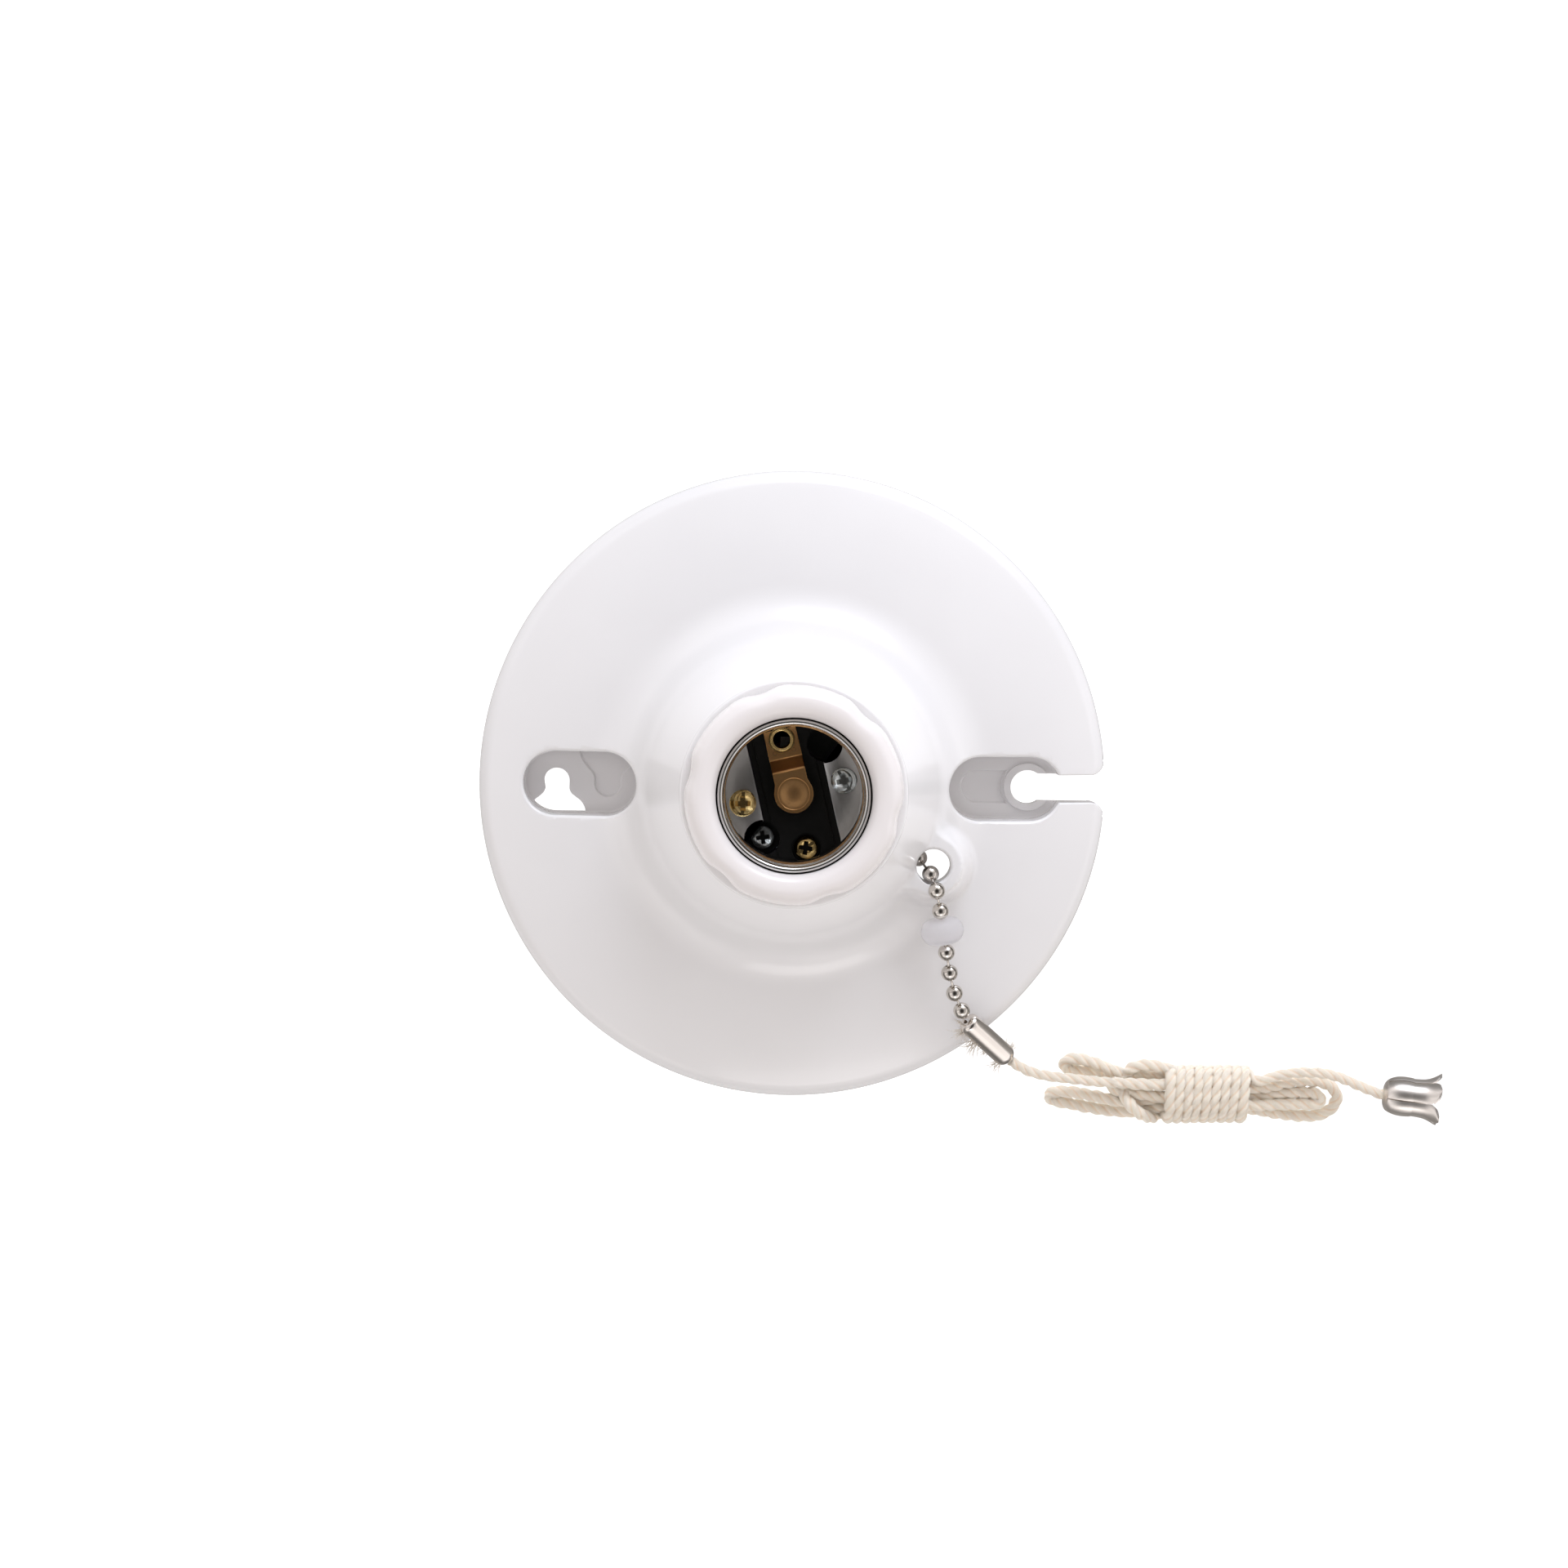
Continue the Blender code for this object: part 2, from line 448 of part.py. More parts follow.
def make_block():
    block = disc("contact_block", BLOCK_R, BLOCK_FOOT_Z, BLOCK_TOP_Z, segments=40)
    rib = bar("rib", (-RIB_HALF, RIB_HALF), (-12.2, 12.2), 28.0, RIB_TOP_Z, BAR_TILT)
    rib = boolean(rib, "INTERSECT", disc("round", 12.2, 27.0, 31.0, segments=40))
    block = boolean(block, "UNION", rib)
    case_at = socket_xy(-NOTCH_HOLE_AT[0], -NOTCH_HOLE_AT[1])
    tools = [disc("rivet_hole", EYELET_R - 0.4, 20.0, 32.0, at=socket_xy(0.0, EYELET_M)),
             disc("case_hole", 1.5, 20.0, 32.0, at=case_at),
             disc("block_recess", 2.7, 28.2, 32.0, at=socket_xy(0.0, BLOCK_SCREW_M)),
             disc("block_hole", 1.6, 24.0, 32.0, at=socket_xy(0.0, BLOCK_SCREW_M))]
    for side in (-1, 1):
        at = socket_xy(side * NOTCH_HOLE_AT[0], side * NOTCH_HOLE_AT[1])
        tools.append(disc("well", NOTCH_HOLE_R, NOTCH_HOLE_FOOT_Z, 32.0, at=at))
        tools.append(disc("shell_hole", 1.6, 24.0, 32.0, at=socket_xy(side * SHELL_SCREW_N, 0.0)))
    return finish(boolean(block, "DIFFERENCE", *tools), PHENOLIC, 0.45)


def make_centre_contact():
    """The spring strip: flat at its root, bent up a third of the way, round and dimpled at its end."""
    stations = [(STRIP_ROOT_M, STRIP_HALF, STRIP_BASE_Z), (STRIP_BEND_M, STRIP_HALF, STRIP_BASE_Z),
                (STRIP_TOP_M, STRIP_HALF, STRIP_END_Z), (1.6, STRIP_HALF, STRIP_END_Z)]
    for a in range(12, 91, 13):
        along, across = math.sin(math.radians(a)), math.cos(math.radians(a))
        stations.append((STRIP_END_M - STRIP_END_R * along, max(0.35, STRIP_END_R * across), STRIP_END_Z))
    points, faces = [], []
    for m, half, z in stations:
        points += [(*socket_xy(n, m), z + dz) for n, dz in
                   ((-half, 0.0), (half, 0.0), (half, STRIP_THICK), (-half, STRIP_THICK))]
    for k in range(len(stations) - 1):
        faces += [[4 * k + i, 4 * k + (i + 1) % 4, 4 * k + 4 + (i + 1) % 4, 4 * k + 4 + i] for i in range(4)]
    faces += [[0, 1, 2, 3], [4 * len(stations) - 4 + i for i in range(4)]]
    strip = from_faces("centre_contact", points, faces)
    strip = boolean(strip, "DIFFERENCE", disc("eye", EYELET_R - 0.4, 29.0, 33.0, at=socket_xy(0.0, EYELET_M)))
    dimple = turned("dimple", [(0.0, -0.2), (2.9, -0.2), (2.7, 0.15), (1.6, 0.42), (0.0, 0.52)], 24)
    dimple = placed(dimple, (*socket_xy(0.0, STRIP_END_M), STRIP_END_Z + STRIP_THICK), (0, 0, 1))
    pivot = (*socket_xy(0.0, STRIP_ROOT_M), STRIP_BASE_Z)
    return finish(boolean(strip, "UNION", dimple), BRONZE, 0.3, 1.0, origin=pivot)


def make_rivet():
    seat, bore, barrel = STRIP_BASE_Z + STRIP_THICK + GAP, EYELET_R - 1.05, EYELET_R - 0.75
    eyelet = turned("contact_rivet", [(EYELET_R, seat), (EYELET_R - 0.15, seat + 0.3), (bore + 0.35, seat + 0.35),
                                      (bore, seat + 0.1), (bore, 25.0), (barrel, 25.0), (barrel, seat)],
                    SMALL_ROUND)
    at = socket_xy(0.0, EYELET_M)
    eyelet.data.transform(Matrix.Translation((at[0] * MM, at[1] * MM, 0.0)))
    return finish(eyelet, BRASS, 0.3, 1.0)


def screw(name, at, seat, head_r, head_h, shaft_r, shaft_length, colour, turn=0.0, lean=(0.0, 0.0, 1.0)):
    """A pan-head screw with a cross recess and one long slot, its head above the seat."""
    blank = turned(name, [(0.0, -shaft_length), (shaft_r, -shaft_length), (shaft_r, 0.0), (head_r, 0.0),
                          (head_r, head_h * 0.45), (head_r * 0.78, head_h * 0.85), (0.0, head_h)], SMALL_ROUND)
    depth = head_h * 0.5
    tools = [bar("slot", (-0.35, 0.35), (-2 * head_r, 2 * head_r), depth, 2 * head_h, turn),
             bar("cross", (-head_r * 0.55, head_r * 0.55), (-0.35, 0.35), depth - 0.1, 2 * head_h, turn)]
    blank = boolean(blank, "DIFFERENCE", *tools)
    return finish(placed(blank, (*at, seat), lean), colour, 0.28, 1.0, origin=(*at, seat))


def make_socket_screws():
    screw("shell_screw_brass", socket_xy(-SHELL_SCREW_N, 0.0), FLANGE_TOP_Z + GAP, 2.45, 1.5, 1.25, 5.0, BRASS, 0.0)
    screw("shell_screw_zinc", socket_xy(SHELL_SCREW_N, 0.0), FLANGE_TOP_Z + GAP, 2.4, 1.5, 1.25, 5.0, ZINC, 0.9)
    screw("case_screw", socket_xy(-NOTCH_HOLE_AT[0], -NOTCH_HOLE_AT[1]), NOTCH_HOLE_FOOT_Z + GAP, 2.05, 1.3, 1.15,
          2.8, ZINC, -0.1)
    screw("block_screw", socket_xy(0.0, BLOCK_SCREW_M), 28.75, 2.2, 1.5, 1.1, 3.5, BRASS, 1.1, (-0.1, 0.06, 1.0))


def make_case():
    case = disc("switch_case", CASE_R, CASE_FOOT_Z, CASE_TOP_Z, segments=40)
    tools = [disc("chamber", CHAMBER_R, CASE_FLOOR_Z, 25.0, segments=36),
             disc("axle_hole", AXLE_R + GAP, 5.0, 12.0),
             capsule("channel", run_point(4 * BEAD_PITCH), run_point(-BEAD_PITCH), CHANNEL_R)]
    return finish(boolean(case, "DIFFERENCE", *tools), PHENOLIC, 0.5)


def make_fixed_contacts():
    across, toward = (-CONTACT_HALF, CONTACT_HALF), CONTACT_ANGLE + math.pi / 2
    line = bar("line_contact", across, (CONTACT_INNER, LINE_CONTACT_END), CONTACT_Z, CONTACT_TOP_Z, toward)
    finish(line, BRASS, 0.35, 1.0)
    away = toward - math.pi
    load = bar("load_contact", across, (CONTACT_INNER, LOAD_CONTACT_END), CONTACT_Z, CONTACT_TOP_Z, away)
    riser = bar("riser", across, (LOAD_CONTACT_END - RISER_THICK, LOAD_CONTACT_END), CONTACT_Z, RISER_TOP_Z, away)
    finish(boolean(load, "UNION", riser), BRASS, 0.35, 1.0)


def make_rotor():
    rotor = disc("rotor", ROTOR_R, ROTOR_Z, ROTOR_TOP_Z, segments=32)
    teeth = []
    for k in range(RATCHET_TEETH):
        a = 2 * math.pi * k / RATCHET_TEETH
        teeth += [(r * math.cos(a), r * math.sin(a)) for r in (RATCHET_ROOT_R, RATCHET_TIP_R)]
    rotor = boolean(rotor, "UNION", prism("ratchet", teeth, ROTOR_TOP_Z - 0.6, RATCHET_TOP_Z))
    rotor = boolean(rotor, "DIFFERENCE", disc("axle_hole", AXLE_R + GAP, 9.0, 14.0))
    finish(rotor, FIBRE, 0.4, origin=(0.0, 0.0, ROTOR_Z))
    bridge = prism("rotor_contact", obround(-BRIDGE_REACH, BRIDGE_REACH, BRIDGE_HALF), BRIDGE_Z, BRIDGE_TOP_Z)
    bridge.data.transform(Matrix.Rotation(CONTACT_ANGLE + math.pi / 2, 4, "Z"))
    bridge = boolean(bridge, "DIFFERENCE", disc("axle_hole", AXLE_R + GAP, 9.0, 14.0))
    finish(bridge, BRASS, 0.3, 1.0, origin=(0.0, 0.0, ROTOR_Z))


def lever_angle():
    """The lever's rest direction: towards the chain's end pin, half a stroke before the run's closest point."""
    pin = run_pin()
    return math.atan2(pin.y, pin.x)


def run_pin():
    """The chain's end pin at rest, where the pull starts half a stroke before the point nearest the axle."""
    along = OUTLET_BEADS[0][0] * math.cos(RUN_ANGLE) + OUTLET_BEADS[0][1] * math.sin(RUN_ANGLE)
    return run_point(along + STROKE / 2)


def make_lever():
    toward = lever_angle() - math.pi / 2
    lever = disc("pull_lever", LEVER_HUB_R, LEVER_Z - 0.5, LEVER_TOP_Z + 0.2, segments=24)
    arm = bar("arm", (-LEVER_HALF, LEVER_HALF), (-LEVER_TAIL, LEVER_R), LEVER_Z, LEVER_TOP_Z, toward)
    lever = boolean(lever, "UNION", arm)
    tools = [bar("slot", (-LEVER_SLOT_HALF, LEVER_SLOT_HALF), LEVER_SLOT, 10.0, 18.0, toward),
             disc("axle_hole", AXLE_R + GAP, 10.0, 18.0)]
    finish(boolean(lever, "DIFFERENCE", *tools), STEEL, 0.4, 1.0, origin=(0.0, 0.0, LEVER_Z))
    leaf = bar("pawl_spring", (-PAWL_HALF, PAWL_HALF), (-PAWL_TO, -PAWL_FROM), LEVER_Z - GAP - PAWL_THICK,
               LEVER_Z - GAP, toward)
    finish(leaf, BRONZE, 0.3, 1.0, origin=(0.0, 0.0, LEVER_Z))


def make_tube(name, points, radius, colour, roughness, metallic=0.0, resolution=2):
    """A round wire or cord along points, as a filled curve."""
    curve = bpy.data.curves.new(name, "CURVE")
    curve.dimensions = "3D"
    curve.bevel_depth = radius * MM
    curve.bevel_resolution = resolution
    curve.use_fill_caps = True
    spline = curve.splines.new("POLY")
    spline.points.add(len(points) - 1)
    for point, co in zip(spline.points, points):
        point.co = (*(Vector(co) * MM), 1.0)
    made = bpy.data.objects.new(name, curve)
    bpy.context.scene.collection.objects.link(made)
    return finish(made, colour, roughness, metallic)


def smooth_route(route, step):
    """Points about step apart on a smooth curve through a route's own points."""
    knots = [Vector(p) for p in route]
    knots = [2 * knots[0] - knots[1]] + knots + [2 * knots[-1] - knots[-2]]
    points = [knots[1]]
    for a, b, c, d in zip(knots, knots[1:], knots[2:], knots[3:]):
        count = max(1, round((c - b).length / step))
        for k in range(1, count + 1):
            t = k / count
            points.append(0.5 * (2 * b + (c - a) * t + (2 * a - 5 * b + 4 * c - d) * t ** 2
                                 + (3 * b - a - 3 * c + d) * t ** 3))
    return points


def make_spring_and_axle():
    per_turn, coil = 8, []
    count = COIL_TURNS * per_turn
    for k in range(count + 1):
        a, z = 2 * math.pi * k / per_turn, COIL_FOOT_Z + (COIL_TOP_Z - COIL_FOOT_Z) * k / count
        coil.append((COIL_R * math.cos(a), COIL_R * math.sin(a), z))
    make_tube("return_spring", coil, COIL_WIRE_R, STEEL, 0.3, 1.0, resolution=1)
    axle = disc("axle_pin", AXLE_R, CASE_FOOT_Z + 0.25, CASE_TOP_Z - 0.05)
    finish(axle, STEEL, 0.25, 1.0)


def make_rear():
    plate = disc("rear_plate", CASE_R, REAR_FOOT_Z, REAR_TOP_Z, segments=40)
    sides = (("line", -TERMINAL_X, BRASS), ("neutral", TERMINAL_X, ZINC))
    holes = [disc("hole", TERMINAL_HOLE_R, 5.0, 9.0, at=(x, 0.0)) for _, x, _ in sides]
    finish(boolean(plate, "DIFFERENCE", *holes), FIBRE, 0.7)
    for name, x, colour in sides:
        clip = bar(name + "_terminal", (-TERMINAL_HALF_X, TERMINAL_HALF_X), (-TERMINAL_HALF_Y, TERMINAL_HALF_Y),
                   TERMINAL_FOOT_Z, TERMINAL_TOP_Z, 0.0, (x, 0.0))
        clip = boolean(clip, "DIFFERENCE", disc("hole", TERMINAL_HOLE_R, 5.0, 9.0, at=(x, 0.0)))
        finish(clip, colour, 0.35, 1.0)
        screw(name + "_terminal_screw", (x, 0.0), TERMINAL_FOOT_Z - GAP, 3.3, 1.9, TERMINAL_HOLE_R - 0.35, 1.8,
              colour, 0.5, (0.0, 0.0, -1.0))


def make_chain():
    """Beads and links. Each bead of the bend is a piece of its own, the straight run and the outside are one each."""
    beads = [run_point(BEAD_PITCH * (k + 2)) for k in range(RUN_BEADS)]
    pin = run_pin()
    inner = ball("chain_inner", beads[0], BEAD_R)
    pieces = [ball("bead", bead, BEAD_R) for bead in beads[1:]]
    pieces += [rod("link", beads[0], pin, LINK_R), rod("pin", (pin.x, pin.y, LEVER_Z - 0.3), pin, 0.55)]
    finish(boolean(inner, "UNION", *pieces), NICKEL, 0.2, 1.0, origin=pin)

    for number, (start, _) in enumerate(bead_travels(), 1):
        finish(ball(f"chain_bead_{number}", start, BEAD_R), NICKEL, 0.2, 1.0, origin=start)
    fifth = OUTLET_BEADS[3]
    finish(ball("chain_bead_5", fifth, BEAD_R), NICKEL, 0.2, 1.0, origin=fifth)

    lower = ball("chain_lower", LOWER_BEADS[0], BEAD_R)
    pieces = [ball("bead", bead, BEAD_R) for bead in LOWER_BEADS[1:]]
    pieces.append(rod("link", LOWER_BEADS[0], LOWER_BEADS[1], LINK_R))
    pieces += [rod("link", a, b, LINK_R) for a, b in zip(LOWER_BEADS[1:], LOWER_BEADS[2:])]
    finish(boolean(lower, "UNION", *pieces), NICKEL, 0.2, 1.0, origin=LOWER_BEADS[0])

    half = INSULATOR_HALF
    barrel = turned("insulator_link", [(0.9, -half), (2.6, -half), (3.2, -half * 0.75), (INSULATOR_R, -half * 0.3),
                                       (INSULATOR_R, half * 0.3), (3.2, half * 0.75), (2.6, half), (0.9, half)], 20)
    way = Vector(LOWER_BEADS[0]) - Vector(fifth)
    finish(placed(barrel, INSULATOR_AT, way), NYLON, 0.35, origin=INSULATOR_AT)


def make_sleeve():
    start, end = Vector(SLEEVE_A), Vector(SLEEVE_B)
    length = (end - start).length
    outline = [(SLEEVE_BORE_R, 0.0), (SLEEVE_R - 0.15, 0.0), (SLEEVE_R, 0.4), (SLEEVE_R, length - 1.0),
               (SLEEVE_R - 0.35, length - 0.2), (SLEEVE_BORE_R, length)]
    sleeve = placed(turned("connector_sleeve", outline, SMALL_ROUND), start, end - start)
    finish(sleeve, NICKEL, 0.22, 1.0, origin=SLEEVE_A)


def make_hank():
    """The wound cord's outer shape: two looped ends and a thicker wrapped middle."""
    loops = [(x, y + HANK_Y) for x, y in obround(HANK_LEFT_X, HANK_RIGHT_X, HANK_HALF)]
    hank = prism("cord_hank", loops, HANK_FOOT_Z, HANK_TOP_Z, 1.0)
    wrap = bar("wrap", (WRAP_LEFT_X, WRAP_RIGHT_X), (HANK_Y - WRAP_HALF, HANK_Y + WRAP_HALF), HANK_FOOT_Z + 0.05,
               WRAP_TOP_Z)
    finish(boolean(hank, "UNION", wrap), COTTON, 0.9, origin=(WRAP_LEFT_X, HANK_Y, HANK_FOOT_Z))


def make_bell():
    start, mouth = Vector(BELL_AT), Vector(BELL_MOUTH_AT)
    inside = [(max(0.6, r - BELL_SHEET), z + (0.5 if k < 2 else 0.0)) for k, (r, z) in enumerate(BELL_PROFILE)]
    bell = turned("end_bell", list(BELL_PROFILE) + inside[::-1], 18)
    finish(placed(bell, start, mouth - start), NICKEL, 0.2, 1.0, origin=BELL_AT)


def main():
    for old in list(bpy.data.objects):
        bpy.data.objects.remove(old)
    make_housing()
    make_collar()
    make_shell()
    make_block()
    make_centre_contact()
    make_rivet()
    make_socket_screws()
    make_case()
    make_fixed_contacts()
    make_rotor()
    make_lever()
    make_spring_and_axle()
    make_rear()
    make_chain()
    make_sleeve()
    make_tube("cord_lead", smooth_route(LEAD_ROUTE, 4.5), CORD_R, COTTON, 0.9)
    make_hank()
    make_tube("cord_tail", smooth_route(TAIL_ROUTE, 4.5), CORD_R, COTTON, 0.9)
    make_bell()


main()
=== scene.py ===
"""The looks of the pull cord switch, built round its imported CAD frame.

Frame: the origin is at the centre of the mounting plane, +Z points from the base towards the lamp, and the
two screw pockets lie on the X axis. Lengths are in millimetres unless a name says otherwise; MM makes them
metres. Sizes that the CAD also has carry the same names here.
"""

import math
import random

import bmesh
import bpy
import numpy as np
from mathutils import Matrix, Vector


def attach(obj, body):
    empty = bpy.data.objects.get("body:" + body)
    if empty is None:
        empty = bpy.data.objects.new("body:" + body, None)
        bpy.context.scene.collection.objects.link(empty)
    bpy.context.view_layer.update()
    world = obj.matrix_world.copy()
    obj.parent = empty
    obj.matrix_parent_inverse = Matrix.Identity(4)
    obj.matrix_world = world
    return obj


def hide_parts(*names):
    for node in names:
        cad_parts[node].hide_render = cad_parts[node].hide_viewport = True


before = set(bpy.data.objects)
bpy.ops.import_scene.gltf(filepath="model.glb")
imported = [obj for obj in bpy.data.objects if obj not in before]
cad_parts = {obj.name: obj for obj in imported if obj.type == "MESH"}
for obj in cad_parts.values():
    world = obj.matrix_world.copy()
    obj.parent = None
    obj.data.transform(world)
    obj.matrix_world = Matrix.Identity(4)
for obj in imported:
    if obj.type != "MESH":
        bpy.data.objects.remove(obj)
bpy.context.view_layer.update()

MM = 0.001
TURN = 2 * math.pi
UP = (0.0, 0.0, 1.0)

# Camera, in metres
CAMERA_AT = (-0.00846551, 0.04728617, 0.87868621)
CAMERA_WAY = (0.00793551, -0.05404333, -0.99850706)
CAMERA_ROLL, CAMERA_LENS, CAMERA_SENSOR = math.radians(0.8), 107.57, 36.0

# Housing
DISC_R, WALL = 58.4, 3.0
RIM_FLAT, RIM_ROUND = 4.6, 3.7
DOME_FOOT_R, DOME_TOP_Z = 33.2, 13.9
NECK_FOOT_R, NECK_FOOT_Z = 28.3, 17.8
NECK_TOP_R, NECK_TOP_Z = 20.6, 38.8
FILLET_FOOT_R, FILLET_TOP_Z = 37.5, 21.8
BARREL_R, BARREL_BORE_R, BARREL_FOOT_Z = 20.0, 17.6, 3.5
LEDGE_BORE_R, LEDGE_Z = 15.6, 6.7
POCKET_X, POCKET_LENGTH, POCKET_HALF = 39.4, 21.2, 5.95
POCKET_FLOOR_Z, POCKET_BACK_Z, POCKET_WALL = 3.5, 1.0, 2.0
SCREW_X = 44.0
KEYHOLE_R = 2.4
KEYHOLE_SIDE = ((2.36, -1.5), (2.75, -2.3), (3.6, -3.0), (4.5, -3.7), (5.1, -4.6), (5.4, -5.6), (5.3, -8.0))
SLOT_HOLE_R, SLOT_HALF, SLOT_CORNER_R = 3.15, 2.55, 2.7
SLOT_RING_R, SLOT_RING_H = 4.5, 0.6
KNOCKOUT_X, KNOCKOUT_DEPTH = 34.9, 0.5
BOSS_ANGLE, BOSS_DISTANCE = math.radians(-28.0), 29.4
BOSS_R, BOSS_HOLE_R, BOSS_TOP_Z, BOSS_FOOT_Z = 6.2, 3.1, 21.8, 11.6
BOSS_BLEND_R = 5.0
BOSS_REACH_IN, BOSS_REACH_OUT, BOSS_SOFT, BOSS_FAR = 1.1, 2.3, 1.4, 18.0
SKIN_LOWEST_Z = 9.0
BOSS_CENTRE = (BOSS_DISTANCE * math.cos(BOSS_ANGLE), BOSS_DISTANCE * math.sin(BOSS_ANGLE))
CHANNEL_R = 1.95
FUNNEL_SIDE = ((2.3, 0.0), (2.35, 1.3), (3.0, 2.4), (3.9, 3.4), (4.7, 4.6), (5.4, 7.0))
FUNNEL_AT = (-34.45, -0.35)

# Socket
COLLAR_R, COLLAR_CROWN_R, COLLAR_LIP_R, COLLAR_TOP_Z = 19.8, 16.9, 14.0, 47.3
COLLAR_FOOT_Z, COLLAR_SKIRT_R, COLLAR_BORE_R = 38.9, 17.3, 14.9
NOTCH_COUNT, NOTCH_FIRST = 6, math.radians(48.8)
NOTCH_R, NOTCH_DEPTH, NOTCH_SOFT = 7.5, 0.65, 0.6
SHELL_FOOT_Z, SHELL_TOP_Z, SHELL_SHEET = 29.7, 45.0, 0.38
THREAD_PITCH, THREAD_MID_R, THREAD_HALF_DEPTH = 3.629, 12.72, 0.42
SHELL_RIM_R, FLANGE_TOP_Z, FLANGE_HOLE_R = 13.6, 30.2, 1.5
BAR_TILT, BAR_HALF, RIB_HALF, RIB_TOP_Z = math.radians(13.5), 6.4, 5.2, 29.9
BLOCK_R, BLOCK_FOOT_Z, BLOCK_TOP_Z = 17.2, 22.0, 29.4
NOTCH_HOLE_AT, NOTCH_HOLE_R, NOTCH_HOLE_FOOT_Z = (7.3, 7.1), 3.1, 25.2
SHELL_SCREW_N, BLOCK_SCREW_M = 9.4, -10.6
STRIP_HALF, STRIP_END_R, STRIP_THICK = 3.0, 3.55, 0.4
STRIP_BASE_Z, STRIP_END_Z = 30.4, 31.7
STRIP_ROOT_M, STRIP_BEND_M, STRIP_TOP_M, STRIP_END_M = 11.6, 6.4, 3.9, -0.3
STRIP_WIDEN_M, STRIP_DOME_M, STRIP_EDGE = 1.9, 0.6, 0.08
EYELET_M, EYELET_R = 9.7, 2.2
EYELET_HOLE_R = EYELET_R - 0.4

# Chain, sleeve, bell
BEAD_R, BEAD_PITCH, LINK_R = 1.56, 4.3, 0.29
RUN_ANGLE = math.radians(-40.0)
RUN_BEADS = 5
OUTLET_BEADS = ((23.4, -12.6, 17.7), (25.5, -15.35, 20.6), (26.55, -18.2, 23.8), (27.35, -22.0, 22.3))
INSULATOR_AT, INSULATOR_R, INSULATOR_HALF = (27.85, -25.85, 20.35), 3.95, 2.4
LOWER_BEADS = ((28.75, -29.95, 18.4), (29.45, -33.9, 16.6), (30.5, -37.8, 14.9), (31.95, -41.2, 13.4))
SLEEVE_A, SLEEVE_B, SLEEVE_R, SLEEVE_SHEET = (32.9, -43.2, 12.4), (40.9, -50.6, 6.9), 2.05, 0.32
BELL_AT, BELL_MOUTH_AT, BELL_PETALS = (111.4, -56.85, 4.35), (122.3, -57.9, 5.15), 5

# Cord: its lead and tail follow the CAD's routes, and between them it is folded and wound into the hank
CORD_R, CORD_LAY, CORD_STEP, CORD_LENGTH_M = 1.2, 6.8, 0.42, 0.525
STRANDS, STRAND_R = 3, 0.62 * CORD_R
LEAD_ROUTE = ((41.6, -51.25, 6.5), (44.0, -52.7, 5.8), (46.5, -53.6, 6.0), (49.5, -54.1, 6.3),
    (53.5, -54.5, 6.4), (57.5, -54.9, 6.3), (61.5, -55.1, 6.3), (65.5, -55.3, 6.3), (69.1, -55.4, 6.3))
TAIL_ROUTE = ((87.9, -54.4, 6.3), (91.5, -53.4, 6.3), (95.0, -52.8, 6.3), (98.5, -52.7, 6.2),
    (101.5, -53.1, 5.9), (104.5, -54.1, 5.2), (107.5, -55.4, 4.6), (110.9, -56.7, 4.4), (112.4, -57.0, 4.4))
OUTER_FOLD = ((74.0, -55.4, 5.6), (80.0, -55.6, 5.4), (86.0, -55.9, 5.0), (90.2, -55.7, 4.2),
    (94.0, -54.9, 3.6), (97.6, -54.6, 3.1), (100.6, -55.0, 2.5), (102.7, -56.2, 1.9), (103.4, -57.9, 1.5),
    (102.7, -59.7, 1.3), (100.9, -61.0, 1.2), (98.3, -61.5, 1.2), (94.6, -61.3, 1.3), (90.4, -60.7, 1.9),
    (86.0, -59.9, 2.9), (80.0, -59.6, 3.3), (74.0, -59.6, 3.2), (69.0, -60.1, 2.6))
LOWER_FOLD = ((65.0, -61.0, 1.9), (61.0, -60.9, 1.6), (57.0, -60.4, 1.5), (53.2, -59.7, 1.5),
    (50.4, -59.2, 1.5), (49.2, -58.4, 1.7), (50.0, -57.5, 2.2), (53.0, -57.3, 3.1), (57.0, -57.9, 3.6),
    (62.0, -58.8, 3.5), (67.0, -58.6, 3.3), (72.0, -57.8, 3.3), (78.0, -57.4, 3.2), (84.0, -57.7, 3.2))
INNER_FOLD = ((88.5, -57.6, 3.3), (92.4, -57.0, 3.2), (96.0, -56.8, 3.2), (98.9, -57.0, 3.2),
    (100.2, -58.0, 3.2), (99.4, -58.9, 3.2), (96.2, -59.0, 3.3), (92.0, -59.1, 3.7), (88.0, -59.2, 4.6),
    (83.0, -59.0, 5.3), (77.0, -58.7, 5.4), (71.0, -57.9, 5.2))
UPPER_FOLD = ((66.0, -57.3, 4.7), (62.4, -56.9, 4.4), (61.0, -56.2, 3.2), (60.5, -55.0, 1.8),
    (59.4, -53.9, 1.6), (57.4, -53.3, 1.8), (54.9, -53.4, 2.2), (53.0, -53.1, 2.8), (51.9, -52.4, 3.2),
    (52.2, -51.4, 3.6), (54.0, -50.9, 4.0), (57.2, -51.6, 4.3), (60.6, -52.9, 4.3), (63.6, -53.8, 3.9),
    (67.0, -54.1, 3.4), (70.4, -54.2, 3.3), (72.6, -54.2, 3.7))
HITCH = ((72.2, -53.0, 4.8), (69.8, -52.2, 5.3), (67.0, -51.8, 5.4), (64.8, -52.3, 5.1), (63.3, -53.7, 4.2),
    (62.9, -55.6, 3.9), (63.2, -57.6, 5.0), (64.4, -59.5, 5.9), (66.2, -61.0, 5.2), (68.0, -61.8, 3.6),
    (69.4, -61.7, 1.8))
LEAD_LENGTH, TAIL_LENGTH, FUZZ_COUNT = 20.0, 22.0, 320
